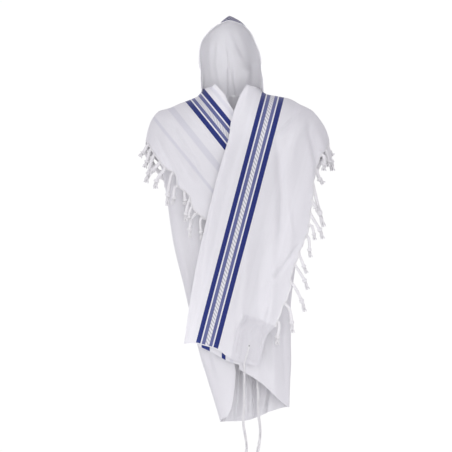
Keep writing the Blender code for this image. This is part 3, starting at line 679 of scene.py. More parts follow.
# Fringe runs down the cloth's outer edge beside these rows of cells.
Run = namedtuple("Run", "name stretch first last tassels")
RUNS = (
    Run("left_front_fringe", LEFT_FRONT, 1, 17, LEFT_TASSELS),
    Run("right_front_fringe", RIGHT_FRONT, 1, 11, RIGHT_TASSELS),
    Run("left_back_fringe", LEFT_BACK, 1, 11, ()),
    Run("right_back_fringe", RIGHT_BACK, 1, 11, ()),
)

# Corners: the cells that each patch covers, then the eyelet and the place where its tzitzit
# turns over the hem, as shares of the patch, and how much further in or out it hangs.
Corner = namedtuple("Corner", "name cover eyelet hem hang")
CORNERS = (
    Corner("left_front", Cover(LEFT_FRONT, 15, 24, 17, 20, OUTSIDE), (0.52, 0.62), (0.55, 0.99), 0),
    Corner("right_front", Cover(LEFT_WRAP, 8, 11, 11, 13, INSIDE), (0.5, 0.75), (0.5, 0.99), 0.014),
    Corner("left_back", Cover(LEFT_BACK, 8, 14, 12, 14, OUTSIDE), (0.70, 0.60), (0.70, 0.99), 0),
    Corner("right_back", Cover(RIGHT_BACK, 9, 14, 12, 14, OUTSIDE), (0.70, 0.60), (0.70, 0.99), 0),
)
print("fringe runs:", len(RUNS), "and corners:", len(CORNERS))

# %% [markdown]
# ## Laying a sheet out finely, and its creases
#
# The broad form alone looks like a moulded shell. Real wool falls in soft creases: long troughs
# that start where the cloth is held and fade out, with one steep side and one gentle side. Each
# crease here is drawn as a line seen from the front or the back, with a width and a height, and
# no two are alike. A little uneven swell over the whole sheet does the rest.

# %% A crease, and a soft swell
# Its width and height, how much steeper one side is, and its line as (x, drop) places. A height
# below nothing is a trough.
Crease = namedtuple("Crease", "width height steep path")
FADE_IN, FADE_OUT = 0.22, 0.30  # shares of a crease's line over which it comes and goes


def lay_out(point, columns, rows):
    """The places of a sheet as an array: rows, columns, then x, y and z."""
    return np.array(
        [[point(i / columns, j / rows) for i in range(columns + 1)] for j in range(rows + 1)]
    )


def facing(places):
    """The direction that each place of a sheet faces, away from the body."""
    normal = np.cross(np.gradient(places, axis=0), np.gradient(places, axis=1))
    normal /= np.maximum(np.linalg.norm(normal, axis=2, keepdims=True), 1e-9)
    away = places * (0.3, 1.0, 0.0)
    away[..., 2] = np.where(places[..., 2] > -0.2, places[..., 2] + 0.6, 0.0)
    return normal * np.sign((normal * away).sum())


def smooth(share):
    """A share from 0 to 1 that starts and ends softly, for whole arrays."""
    return share * share * (3 - 2 * share)


def crease_lift(places, crease):
    """How far one crease lifts each place, from the nearest spot of its line in the view."""
    x, drop = places[..., 0], -places[..., 2]
    corners = np.array(crease.path, float)
    steps = np.diff(corners, axis=0)
    lengths = np.linalg.norm(steps, axis=1)
    starts = np.concatenate([[0.0], np.cumsum(lengths)])
    nearest = np.full(x.shape, 9.0)
    aside, along = np.zeros(x.shape), np.zeros(x.shape)
    for corner, step, length, start in zip(corners, steps, lengths, starts):
        dx, dy = x - corner[0], drop - corner[1]
        share = np.clip((dx * step[0] + dy * step[1]) / length**2, 0.0, 1.0)
        far_x, far_y = dx - share * step[0], dy - share * step[1]
        distance = np.hypot(far_x, far_y)
        side = np.sign(step[0] * dy - step[1] * dx)
        closer = distance < nearest
        nearest = np.where(closer, distance, nearest)
        aside = np.where(closer, side * distance, aside)
        along = np.where(closer, (start + share * length) / starts[-1], along)
    width = crease.width * np.where(aside * crease.steep > 0, 1 - 0.5 * abs(crease.steep), 1.0)
    fade = smooth(np.clip(along / FADE_IN, 0, 1) * np.clip((1 - along) / FADE_OUT, 0, 1))
    return crease.height * fade * np.exp(-((aside / width) ** 2))


def swell(places, size, height, seed, stretch=2.2):
    """Low uneven waves, longer down the cloth than across it."""
    flat = places.reshape(-1, 3)
    lifts = [
        noise.noise(Vector((p[0] / size + seed, p[1] / size - seed, p[2] / size / stretch)))
        for p in flat
    ]
    return height * np.array(lifts).reshape(places.shape[:2])


def creased(places, creases, waves, hold_top=0.0, hold_sides=(0.0, 0.0)):
    """The sheet with its creases; hold_top is the share of its rows that stay on the seam, and
    hold_sides the shares of its columns over which the creases fade out to a side seam."""
    lift = np.zeros(places.shape[:2])
    for crease in creases:
        lift += crease_lift(places, crease)
    columns = np.linspace(0, 1, places.shape[1])[None, :]
    for share, from_seam in zip(hold_sides, (columns, 1 - columns)):
        if share > 0:
            lift *= smooth(np.clip(from_seam / share, 0, 1))
    for wave in waves:
        lift += swell(places, *wave)
    if hold_top > 0:
        rows = np.linspace(0, 1, places.shape[0])[:, None]
        lift *= np.clip(rows / hold_top, 0, 1) ** 1.5
    return places + facing(places) * lift[..., None]


sample = Crease(0.01, 0.008, 0.0, ((0.0, 0.0), (0.0, 1.0)))
spots = np.array([[(0.0, 0.0, -0.5), (0.01, 0.0, -0.5)]])
print("a crease lifts its middle and its side by", crease_lift(spots, sample).round(4)[0], "m")

# %% [markdown]
# ## Turning places into cloth
#
# A plain grid is added, its corners are put on the sheet's places, and a thin wall is given to
# it. The grid keeps a map of the cloth in metres: across the stripes and along them. Every
# pattern reads that map, so it bends with the cloth as weaving does.

# %% A sheet of cloth from its places
CLOTH_WALL = 0.0016  # thickness of a finished sheet


def select_only(obj):
    bpy.ops.object.select_all(action="DESELECT")
    obj.select_set(True)
    bpy.context.view_layer.objects.active = obj


def cloth_lengths(places):
    """How far down the cloth each place is, along its own column."""
    steps = np.linalg.norm(np.diff(places, axis=0), axis=2)
    return np.concatenate([np.zeros((1, places.shape[1])), np.cumsum(steps, axis=0)])


def cloth_widths(places):
    """How far across the cloth each place is, along its own row, from the middle column."""
    steps = np.linalg.norm(np.diff(places, axis=1), axis=2)
    widths = np.concatenate([np.zeros((places.shape[0], 1)), np.cumsum(steps, axis=1)], axis=1)
    return widths - widths[:, [places.shape[1] // 2]]


def half_area(places):
    """The area of one face of the sheet, which is the cloth that it takes."""
    a, b = places[1:, 1:] - places[:-1, :-1], places[1:, :-1] - places[:-1, 1:]
    return float(np.linalg.norm(np.cross(a, b), axis=2).sum() / 2)


def weave_sheet(name, places, across, along, finish, wall=CLOTH_WALL):
    """A sheet through its places, with its map of the cloth, its wall and its finish."""
    rows, columns = places.shape[0] - 1, places.shape[1] - 1
    bpy.ops.object.select_all(action="DESELECT")
    bpy.ops.mesh.primitive_grid_add(x_subdivisions=columns, y_subdivisions=rows, size=1)
    obj = bpy.context.object
    obj.name = obj.data.name = name
    mesh = obj.data
    flat = np.empty(len(mesh.vertices) * 3)
    mesh.vertices.foreach_get("co", flat)
    flat = flat.reshape(-1, 3)
    i = np.rint((flat[:, 0] + 0.5) * columns).astype(int)
    j = np.rint((0.5 - flat[:, 1]) * rows).astype(int)
    corners = np.empty(len(mesh.loops), int)
    mesh.loops.foreach_get("vertex_index", corners)
    layer = mesh.uv_layers.active or mesh.uv_layers.new()
    layer.name = "cloth"
    cloth = np.stack([across[j, i], along[j, i]], axis=1)[corners]
    layer.data.foreach_set("uv", cloth.ravel())
    mesh.vertices.foreach_set("co", places[j, i].ravel())
    mesh.update()
    normals = np.empty(len(mesh.vertices) * 3)
    mesh.vertices.foreach_get("normal", normals)
    select_only(obj)
    if (normals.reshape(-1, 3) * facing(places)[j, i]).sum() < 0:
        bpy.ops.object.mode_set(mode="EDIT")
        bpy.ops.mesh.select_all(action="SELECT")
        bpy.ops.mesh.flip_normals()
        bpy.ops.object.mode_set(mode="OBJECT")
    thick = obj.modifiers.new("Wall", "SOLIDIFY")
    thick.thickness = wall
    thick.offset = 0.0
    bpy.ops.object.modifier_apply(modifier=thick.name)
    bpy.ops.object.shade_smooth_by_angle(angle=math.radians(60))
    mesh.materials.append(finish)
    print(f"{name}: {len(mesh.polygons)} faces, {half_area(places):.3f} m2 of cloth")
    return obj


def weave_wool(name, base, places, finish):
    """A sheet whose map is measured on the cloth before it was creased."""
    return weave_sheet(name, places, cloth_widths(base), cloth_lengths(base), finish)


print("a finished sheet is", CLOTH_WALL, "m thick")

# %% [markdown]
# ## Finishes
#
# Fine wool in a plain weave is almost matt, with a soft bloom at grazing angles. Close to, its
# threads cross over and under and vary in thickness, and the gaps between them get painted
# shade. The stripes are woven in, so their colour sits in the same threads. The satin bands beside
# them have a painted tone: painted sheen, and painted shade on the right wing. What several
# finishes share is a node group: the weave, the slubs of uneven thread, and the stripes.


# %% Helpers for node trees
def new_group(name, inputs, outputs):
    """A node group with named inputs and outputs, and its two end nodes."""
    group = bpy.data.node_groups.new(name, "ShaderNodeTree")
    for label, kind, value in inputs:
        socket = group.interface.new_socket(label, in_out="INPUT", socket_type=kind)
        if value is not None:
            socket.default_value = value
    for label, kind in outputs:
        group.interface.new_socket(label, in_out="OUTPUT", socket_type=kind)
    start = group.nodes.new("NodeGroupInput")
    end = group.nodes.new("NodeGroupOutput")
    return group, start, end


def maths(tree, operation, first, second=None, third=None, clamp=False):
    """One sum on numbers or sockets; gives the socket that holds its result."""
    node = tree.nodes.new("ShaderNodeMath")
    node.operation = operation
    node.use_clamp = clamp
    for socket, value in zip(node.inputs, (first, second, third)):
        if isinstance(value, (int, float)):
            socket.default_value = value
        elif value is not None:
            tree.links.new(value, socket)
    return node.outputs[0]


def blend_colour(tree, share, first, second, kind="MIX"):
    """Two colours blended by a share; each may be a plain value or a socket."""
    node = tree.nodes.new("ShaderNodeMix")
    node.data_type = "RGBA"
    node.blend_type = kind
    by_name = {s.identifier: s for s in node.inputs}
    for key, value in (("Factor_Float", share), ("A_Color", first), ("B_Color", second)):
        socket = by_name[key]
        if isinstance(value, (int, float)):
            socket.default_value = value
        elif isinstance(value, tuple):
            socket.default_value = (*value, 1.0)
        else:
            tree.links.new(value, socket)
    return next(s for s in node.outputs if s.identifier == "Result_Color")


def noise_at(tree, vector, scale, detail=2.0, rough=0.5):
    node = tree.nodes.new("ShaderNodeTexNoise")
    node.inputs["Scale"].default_value = scale
    node.inputs["Detail"].default_value = detail
    node.inputs["Roughness"].default_value = rough
    tree.links.new(vector, node.inputs["Vector"])
    return node.outputs["Fac"]


def scaled(tree, vector, x, y, z=1.0):
    node = tree.nodes.new("ShaderNodeMapping")
    node.inputs["Scale"].default_value = (x, y, z)
    tree.links.new(vector, node.inputs["Vector"])
    return node.outputs["Vector"]


def cloth_map(tree):
    """The sheet's own map of its cloth, in metres."""
    node = tree.nodes.new("ShaderNodeUVMap")
    node.uv_map = "cloth"
    return node.outputs["UV"]


def toned(tree, colour, tone):
    """A colour made lighter or darker by one number."""
    grey = tree.nodes.new("ShaderNodeCombineColor")
    for socket in grey.inputs:
        tree.links.new(tone, socket)
    return blend_colour(tree, 1.0, colour, grey.outputs[0], "MULTIPLY")


# %% Shared group: plain weave
def make_weave_group():
    """Threads that cross over and under, their uneven thickness, how high they stand, and the gaps between
    them, which are given painted shade.
    """
    tree, start, end = new_group(
        "plain_weave",
        [("Cloth", "NodeSocketVector", None), ("Pitch", "NodeSocketFloat", 0.0007)],
        [("Height", "NodeSocketFloat"), ("Slub", "NodeSocketFloat"), ("Gap", "NodeSocketFloat")],
    )
    split = tree.nodes.new("ShaderNodeSeparateXYZ")
    tree.links.new(start.outputs["Cloth"], split.inputs[0])
    warp = maths(tree, "DIVIDE", split.outputs["X"], start.outputs["Pitch"])
    weft = maths(tree, "DIVIDE", split.outputs["Y"], start.outputs["Pitch"])
    over = maths(tree, "SINE", maths(tree, "MULTIPLY", warp, math.pi))
    under = maths(tree, "SINE", maths(tree, "MULTIPLY", weft, math.pi))
    crossing = maths(tree, "MULTIPLY", over, under)
    height = maths(tree, "ABSOLUTE", crossing)
    # Where the threads part: darkened later as painted shade.
    gap = maths(tree, "SUBTRACT", 1.0, maths(tree, "POWER", height, 0.5))
    thin = noise_at(tree, scaled(tree, start.outputs["Cloth"], 900.0, 40.0), 1.0)
    thick = noise_at(tree, scaled(tree, start.outputs["Cloth"], 40.0, 900.0), 1.0)
    slub = maths(tree, "MULTIPLY", maths(tree, "ADD", thin, thick), 0.5)
    tree.links.new(maths(tree, "ADD", height, slub), end.inputs["Height"])
    tree.links.new(slub, end.inputs["Slub"])
    tree.links.new(gap, end.inputs["Gap"])
    return tree


WEAVE = make_weave_group()
print("weave group has", len(WEAVE.nodes), "nodes")

# %% Shared group: the woven stripes
NAVY = (0.016, 0.027, 0.175)
SLATE = (0.125, 0.14, 0.31)
WHITE_WOOL = (0.815, 0.812, 0.835)
# The satin bands' tone, a little brighter than the wool: painted sheen.
SATIN_SHEEN = (0.835, 0.832, 0.856)
HATCH_GREY = (0.3, 0.31, 0.36)

# Bands across the cloth, in metres from the middle of the stripes: where each one starts, and
# its colour.
BANDS = (
    (-0.0385, NAVY),
    (-0.0231, WHITE_WOOL),
    (-0.0184, SLATE),
    (-0.0067, WHITE_WOOL),
    (0.0067, SLATE),
    (0.0181, WHITE_WOOL),
    (0.0229, NAVY),
    (0.0383, WHITE_WOOL),
)
RAMP_FROM, RAMP_TO = -0.10, 0.20

# White satin bands beside the stripes: where each one starts and ends. Their tone is painted
# light: painted sheen, a little brighter than the wool, and painted shade on the right wing.
SATIN_BANDS = ((-0.0660, -0.0500), (0.0800, 0.1050), (0.1500, 0.1640))
SATIN_FADE = 0.004  # width over which each comes and goes
NAVY_FROM, NAVY_TO = 0.0230, 0.0384  # where the dyed threads lie, either way from the middle
SLATE_FROM, SLATE_TO = 0.0067, 0.0182
RIB_PITCH = 0.0024  # of the ribs across them
HEM_WHITE = 0.0035  # the last of the cloth is left white below the stripes
HATCH_PITCH = 0.0135  # of the slanting basket weave between the slate stripes
HATCH_HALF = 0.0066  # half its width
HATCH_THIN, HATCH_DARK = 3.4, 0.85  # how thin and how dark its lines are
FAR = 9.0  # past every edge of the cloth


def make_stripe_group():
    """The woven bands: their colour, with painted light on the satin bands, and where the coloured threads
    are.
    """
    tree, start, end = new_group(
        "woven_stripes",
        [
            ("Cloth", "NodeSocketVector", None),
            ("Satin", "NodeSocketColor", (*SATIN_SHEEN, 1.0)),
            ("Foot", "NodeSocketFloat", FAR),
            ("Reach", "NodeSocketFloat", FAR),
            ("Hatch", "NodeSocketFloat", HATCH_PITCH),
        ],
        [("Colour", "NodeSocketColor"), ("Dyed", "NodeSocketFloat"), ("Ribs", "NodeSocketFloat")],
    )
    split = tree.nodes.new("ShaderNodeSeparateXYZ")
    tree.links.new(start.outputs["Cloth"], split.inputs[0])
    across, along = split.outputs["X"], split.outputs["Y"]
    aside = maths(tree, "ABSOLUTE", across)
    at = maths(tree, "DIVIDE", maths(tree, "SUBTRACT", across, RAMP_FROM), RAMP_TO - RAMP_FROM)
    ramp = tree.nodes.new("ShaderNodeValToRGB")
    ramp.color_ramp.interpolation = "CONSTANT"
    stops = ramp.color_ramp.elements
    stops[0].position, stops[0].color = 0.0, (*WHITE_WOOL, 1.0)
    stops.remove(stops[1])
    for begin, colour in BANDS:
        stop = stops.new((begin - RAMP_FROM) / (RAMP_TO - RAMP_FROM))
        stop.color = (*colour, 1.0)
    tree.links.new(at, ramp.inputs["Fac"])
    slant = maths(tree, "DIVIDE", maths(tree, "SUBTRACT", along, across), start.outputs["Hatch"])
    line = maths(tree, "ABSOLUTE", maths(tree, "SUBTRACT", maths(tree, "FRACT", slant), 0.5))
    line = maths(tree, "SUBTRACT", 1.0, maths(tree, "MULTIPLY", line, HATCH_THIN), clamp=True)
    middle = maths(tree, "LESS_THAN", aside, HATCH_HALF)
    hatch = maths(tree, "MULTIPLY", maths(tree, "MULTIPLY", line, middle), HATCH_DARK)
    colour = blend_colour(tree, hatch, ramp.outputs["Color"], HATCH_GREY)
    # The satin bands are blended to the group's painted light tone: painted sheen, and painted shade on the
    # right wing.
    for begin, end_at in SATIN_BANDS:
        middle_at, half = (begin + end_at) / 2, (end_at - begin) / 2
        off = maths(tree, "ABSOLUTE", maths(tree, "SUBTRACT", across, middle_at))
        soft = maths(tree, "DIVIDE", maths(tree, "SUBTRACT", half, off), SATIN_FADE, clamp=True)
        colour = blend_colour(tree, soft, colour, start.outputs["Satin"])
    white_hem = maths(tree, "GREATER_THAN", along, start.outputs["Foot"])
    within = maths(tree, "LESS_THAN", aside, start.outputs["Reach"])
    white_hem = maths(tree, "MULTIPLY", white_hem, within)
    colour = blend_colour(tree, white_hem, colour, WHITE_WOOL)
    inside = maths(tree, "LESS_THAN", aside, NAVY_TO)
    navy = maths(tree, "GREATER_THAN", aside, NAVY_FROM)
    slate = maths(tree, "GREATER_THAN", aside, SLATE_FROM)
    slate = maths(tree, "MULTIPLY", slate, maths(tree, "LESS_THAN", aside, SLATE_TO))
    dyed = maths(tree, "MULTIPLY", inside, maths(tree, "ADD", navy, slate))
    wave = maths(tree, "SINE", maths(tree, "MULTIPLY", along, 2 * math.pi / RIB_PITCH))
    ribs = maths(tree, "MULTIPLY", maths(tree, "MULTIPLY_ADD", wave, 0.5, 0.5), dyed)
    tree.links.new(colour, end.inputs["Colour"])
    tree.links.new(dyed, end.inputs["Dyed"])
    tree.links.new(ribs, end.inputs["Ribs"])
    return tree


STRIPES = make_stripe_group()
print("stripe group has", len(BANDS), "bands")


# %% Cloth finishes built from the groups
def group_node(tree, group):
    node = tree.nodes.new("ShaderNodeGroup")
    node.node_tree = group
    return node


def start_finish(name, rough, sheen, colour):
    """A soft matt material, its node tree and its shader."""
    made = bpy.data.materials.new(name)
    made.use_nodes = True
    tree = made.node_tree
    shader = tree.nodes["Principled BSDF"]
    shader.inputs["Roughness"].default_value = rough
    shader.inputs["Sheen Weight"].default_value = sheen
    shader.inputs["Sheen Roughness"].default_value = 0.45
    shader.inputs["Specular IOR Level"].default_value = 0.25
    shader.inputs["Subsurface Weight"].default_value = 0.25
    shader.inputs["Subsurface Scale"].default_value = 0.012
    shader.inputs["Subsurface Radius"].default_value = (1.0, 1.0, 1.0)
    made.diffuse_color = (*colour, 1.0)
    return made, tree, shader


def bump(tree, shader, height, strength, distance):
    node = tree.nodes.new("ShaderNodeBump")
    node.inputs["Strength"].default_value = strength
    node.inputs["Distance"].default_value = distance
    tree.links.new(height, node.inputs["Height"])
    tree.links.new(node.outputs["Normal"], shader.inputs["Normal"])


def cloth_finish(name, striped=False, satin=SATIN_SHEEN, foot=FAR, reach=FAR, hatch=HATCH_PITCH):
    """Woven wool: weave, uneven thread and, on the wings, the woven stripes. Beyond foot, the
    stripes nearer than reach to their middle are left white."""
    colour, pitch, rough = WHITE_WOOL, 0.0008, 0.86
    made, tree, shader = start_finish(name, rough, 0.25, colour)
    where = cloth_map(tree)
    weave = group_node(tree, WEAVE)
    weave.inputs["Pitch"].default_value = pitch
    tree.links.new(where, weave.inputs["Cloth"])
    if striped:
        stripes = group_node(tree, STRIPES)
        tree.links.new(where, stripes.inputs["Cloth"])
        stripes.inputs["Satin"].default_value = (*satin, 1.0)
        stripes.inputs["Foot"].default_value = foot
        stripes.inputs["Reach"].default_value = reach
        stripes.inputs["Hatch"].default_value = hatch
        base = stripes.outputs["Colour"]
    else:
        base = tree.nodes.new("ShaderNodeRGB").outputs[0]
        base.default_value = (*colour, 1.0)
    patchy = noise_at(tree, scaled(tree, where, 1.0, 0.4), 14.0, 3.0)
    shade = maths(tree, "MULTIPLY_ADD", patchy, 0.05, 0.972)
    thread = maths(tree, "MULTIPLY_ADD", weave.outputs["Slub"], 0.10, 0.95)
    # The gaps between threads are made a tenth darker: painted shade.
    gap_shade = maths(tree, "MULTIPLY_ADD", weave.outputs["Gap"], -0.10, 1.0)
    tone = maths(tree, "MULTIPLY", maths(tree, "MULTIPLY", shade, thread), gap_shade)
    tree.links.new(toned(tree, base, tone), shader.inputs["Base Color"])
    height = weave.outputs["Height"]
    if striped:
        height = maths(tree, "ADD", height, maths(tree, "MULTIPLY", stripes.outputs["Ribs"], 0.8))
        sleek = maths(tree, "MULTIPLY_ADD", stripes.outputs["Dyed"], -0.14, rough)
        tree.links.new(sleek, shader.inputs["Roughness"])
    bump(tree, shader, height, 0.35, 0.0003)
    return made


PLAIN_WOOL = cloth_finish("white_wool")
STRIPED_WOOL = cloth_finish("striped_wool", striped=True, foot=LEFT_HEM_ALONG - HEM_WHITE)
# The right wing's satin bands are grey: painted shade.
CROSSED_WOOL = cloth_finish(
    "crossed_wool", striped=True, satin=(0.715, 0.715, 0.765), foot=0.75, reach=0.0226, hatch=0.0080
)
print("cloth finishes:", PLAIN_WOOL.name, STRIPED_WOOL.name, CROSSED_WOOL.name)

# %% Neckband, patch and yarn finishes
BAND_GROUND, BAND_LINE, BAND_PITCH = (0.42, 0.42, 0.50), (0.075, 0.078, 0.145), 0.0105
PATCH_WHITE, TWILL_PITCH = (0.812, 0.806, 0.838), 0.0026
YARN_COLOUR = (0.80, 0.795, 0.80)


def band_finish():
    """The woven neckband: fine slanting dark lines on a grey-blue ground."""
    made, tree, shader = start_finish("woven_band", 0.72, 0.15, SLATE)
    where = cloth_map(tree)
    weave = group_node(tree, WEAVE)
    tree.links.new(where, weave.inputs["Cloth"])
    split = tree.nodes.new("ShaderNodeSeparateXYZ")
    tree.links.new(where, split.inputs[0])
    slant = maths(tree, "ADD", split.outputs["X"], split.outputs["Y"])
    line = maths(tree, "SINE", maths(tree, "MULTIPLY", slant, 2 * math.pi / BAND_PITCH))
    line = maths(tree, "MULTIPLY_ADD", line, 1.6, 0.55, clamp=True)
    base = blend_colour(tree, line, BAND_GROUND, BAND_LINE)
    tree.links.new(base, shader.inputs["Base Color"])
    height = maths(tree, "ADD", weave.outputs["Height"], line)
    bump(tree, shader, height, 0.5, 0.0004)
    return made


def twill_finish():
    """The corner patches: a fine slanting twill."""
    made, tree, shader = start_finish("white_twill", 0.68, 0.2, WHITE_WOOL)
    where = cloth_map(tree)
    split = tree.nodes.new("ShaderNodeSeparateXYZ")
    tree.links.new(where, split.inputs[0])
    slant = maths(tree, "ADD", split.outputs["X"], split.outputs["Y"])
    twill = maths(tree, "SINE", maths(tree, "MULTIPLY", slant, 2 * math.pi / TWILL_PITCH))
    tone = maths(tree, "MULTIPLY_ADD", twill, 0.03, 0.95)
    tree.links.new(toned(tree, PATCH_WHITE, tone), shader.inputs["Base Color"])
    bump(tree, shader, twill, 0.5, 0.0004)
    return made


def yarn_finish():
    """White wool yarn: fine fibres along the twist, with a little fuzz."""
    made, tree, shader = start_finish("white_yarn", 0.9, 0.35, WHITE_WOOL)
    where = tree.nodes.new("ShaderNodeTexCoord")
    fibres = noise_at(tree, scaled(tree, where.outputs["Object"], 1.0, 1.0, 0.35), 900.0, 3.0)
    cloudy = noise_at(tree, where.outputs["Object"], 60.0, 2.0)
    tone = maths(tree, "MULTIPLY_ADD", fibres, 0.22, 0.90)
    tone = maths(tree, "MULTIPLY", tone, maths(tree, "MULTIPLY_ADD", cloudy, 0.08, 0.96))
    tree.links.new(toned(tree, YARN_COLOUR, tone), shader.inputs["Base Color"])
    bump(tree, shader, fibres, 0.5, 0.0006)
    return made


BAND, TWILL, YARN_WHITE = band_finish(), twill_finish(), yarn_finish()
print("trim finishes:", BAND.name, TWILL.name, YARN_WHITE.name)

# %% [markdown]
# ## The hood, the back and the body wrap
#
# One stretch of cloth runs from the brow over the head and down the back, and its sides wrap
# the body. The stretches meet edge to edge, so nothing shows where they join. Inside the hood
# the cloth gathers into one deep crease at the nape, with softer folds at its sides.

# %% Hood
HOOD_CREASES = (
    Crease(
        0.0075, 0.008, 0.5,
        ((-0.014, 0.05), (-0.012, 0.12), (-0.011, 0.2), (-0.013, 0.262), (-0.016, 0.3)),
    ),
    Crease(0.011, -0.009, -0.4, ((-0.003, 0.16), (0.002, 0.22), (0.016, 0.27), (0.022, 0.3))),
    Crease(0.012, -0.0075, 0.5, ((-0.002, 0.036), (0.016, 0.058), (0.034, 0.098), (0.06, 0.155))),
    Crease(0.017, 0.015, 0.2, ((0.06, 0.15), (0.052, 0.205), (0.042, 0.245), (0.03, 0.29))),
    Crease(0.011, -0.006, 0.4, ((0.082, 0.15), (0.078, 0.215), (0.066, 0.27))),
    Crease(0.01, 0.0055, -0.3, ((-0.062, 0.06), (-0.068, 0.13), (-0.056, 0.215))),
    Crease(0.008, 0.0045, 0.3, ((-0.04, 0.06), (-0.046, 0.15), (-0.034, 0.235))),
)
WAVES = ((0.060, 0.0022, 3.1), (0.028, 0.0008, 7.7))  # each with its size, height and seed

# The rim's own fall in cloth: straight down at the cheeks, then back to the shoulders.
RIGHT_CLOTH_RIM = (
    Rim(0.00, 0.1054, 0.105, 0.1615, 90.0),
    Rim(0.35, 0.1025, 0.103, 0.1850, 92.0),
    Rim(0.65, 0.0985, 0.094, 0.2070, 95.0),
    Rim(0.85, 0.0940, 0.080, 0.2280, 98.0),
    Rim(1.00, 0.0885, 0.062, 0.2540, 101.0),
)
LEFT_CLOTH_RIM = (
    Rim(0.00, 0.1064, 0.105, 0.1615, 90.0),
    Rim(0.35, 0.1080, 0.103, 0.1850, 92.0),
    Rim(0.65, 0.1075, 0.094, 0.2070, 95.0),
    Rim(0.85, 0.1060, 0.080, 0.2280, 98.0),
    Rim(1.00, 0.1030, 0.062, 0.2540, 101.0),
)
CLOTH_RIMS = (RIGHT_CLOTH_RIM, LEFT_CLOTH_RIM)
BROW_WIDE, BROW_TALL, BROW_DROP = 0.1054, 0.1479, 0.1615  # the arch of the rim over the brow
TENT_AT, TENT_HEIGHT = -0.0024, 0.0205  # the small tent behind the brow: its middle and height
TENT_LEFT, TENT_RIGHT = 0.062, 0.033  # and how far it reaches to each side


def hood_cloth(column, row):
    """The hood in cloth: it stands up in a small tent behind the brow, keeps within its own rim
    beside it, and its foot falls a little outside the wings."""
    turn = 2 * column - 1
    point = hood_point(turn, row, CLOTH_RIMS)
    reach = TENT_LEFT if point.x > TENT_AT else TENT_RIGHT
    tent = TENT_HEIGHT * max(0.0, 1 - abs(point.x - TENT_AT) / reach)
    tent *= ease(0.0, 0.06, row) * (1 - ease(0.20, 0.45, row))
    tent += 0.0120 * bell(point.x, 0.040) * ease(0.20, 0.45, row)
    up = point.z + BROW_DROP - tent
    limit = mix(0.985, 0.995 - 0.035 * ease(0.0, 0.10, up), ease(0.20, 0.50, row))
    out = math.hypot(point.x / BROW_WIDE, max(up, 0.0) / BROW_TALL)
    hold = ease(0.0, 0.03, row) * (1 - ease(0.62, 0.85, row)) * (1 - ease(0.0, 0.06, -up))
    if out > limit:
        share = mix(1.0, limit / out, hold)
        point.x *= share
        if up > 0:
            point.z = up * share + tent - BROW_DROP
    point.z -= 0.0055 * bell(point.x, 0.080) * (1 - ease(0.25, 0.50, row))
    point.x -= 0.0058 * bell(point.z + 0.090, 0.036)
    side = ease(0.36, 0.60, abs(turn))
    outward = Vector((point.x, point.y, 0)).normalized()
    point += outward * 0.0045 * ease(0.80, 1.0, row) * side
    return point


def foot_of_hood(angle):
    """The hood's foot at an angle round the back of the neck."""
    rim = LEFT_CLOTH_RIM if angle >= 0 else RIGHT_CLOTH_RIM
    return hood_point(angle / rim[-1].turn, 1.0, CLOTH_RIMS)


hood_base = lay_out(hood_cloth, 140, 72)
hood_places = creased(hood_base, HOOD_CREASES, WAVES, 0.25)
hood = weave_wool("hood_cloth", hood_base, hood_places, PLAIN_WOOL)


# %% Back panel, up to the hood's foot
def back_cloth(column, row):
    """The back panel in cloth, whose top edge is the hood's own foot."""
    point = back_panel_point(column, row)
    foot = foot_of_hood(mix(-BACK_SPREAD, BACK_SPREAD, column))
    return point + (foot - back_panel_point(column, 0.0)) * (1 - ease(0.0, 0.12, row))


BACK_CREASES = (
    Crease(0.02, 0.008, 0.4, ((0.02, 0.33), (0.012, 0.6), (-0.02, 0.98), (-0.045, 1.37))),
    Crease(0.016, -0.006, 0.3, ((-0.05, 0.4), (-0.06, 0.75), (-0.058, 1.1), (-0.03, 1.37))),
    Crease(0.018, 0.007, -0.5, ((0.095, 0.42), (0.12, 0.76), (0.125, 1.08), (0.1, 1.35))),
    Crease(0.014, 0.006, 0.4, ((-0.11, 0.5), (-0.105, 0.9), (-0.06, 1.3))),
    Crease(0.007, 0.011, 0.5, ((0.034, 1.06), (0.032, 1.18), (0.028, 1.3), (0.014, 1.42))),
    Crease(0.008, -0.009, -0.4, ((0.05, 1.08), (0.049, 1.2), (0.046, 1.3), (0.038, 1.43))),
    Crease(0.008, -0.008, 0.4, ((0.068, 1.08), (0.069, 1.2), (0.068, 1.3), (0.064, 1.43))),
    Crease(0.005, 0.013, 0.6, ((0.084, 1.1), (0.082, 1.22), (0.082, 1.31), (0.084, 1.44))),
    Crease(0.009, -0.01, -0.4, ((0.102, 1.15), (0.098, 1.24), (0.098, 1.32), (0.1, 1.43))),
    Crease(0.006, 0.008, 0.4, ((0.128, 1.2), (0.122, 1.27), (0.112, 1.35))),
    Crease(0.007, -0.009, 0.3, ((0.144, 1.24), (0.138, 1.3), (0.128, 1.38))),
    Crease(0.008, -0.008, 0.3, ((0.022, 1.24), (0.002, 1.31), (-0.016, 1.39))),
)
BODY_WAVES = ((0.090, 0.0040, 5.3), (0.040, 0.0014, 1.9))
back_base = lay_out(back_cloth, 84, 130)
back_places = creased(back_base, BACK_CREASES, BODY_WAVES, 0.12, hold_sides=(0.06, 0.06))
back = weave_wool("back_cloth", back_base, back_places, PLAIN_WOOL)

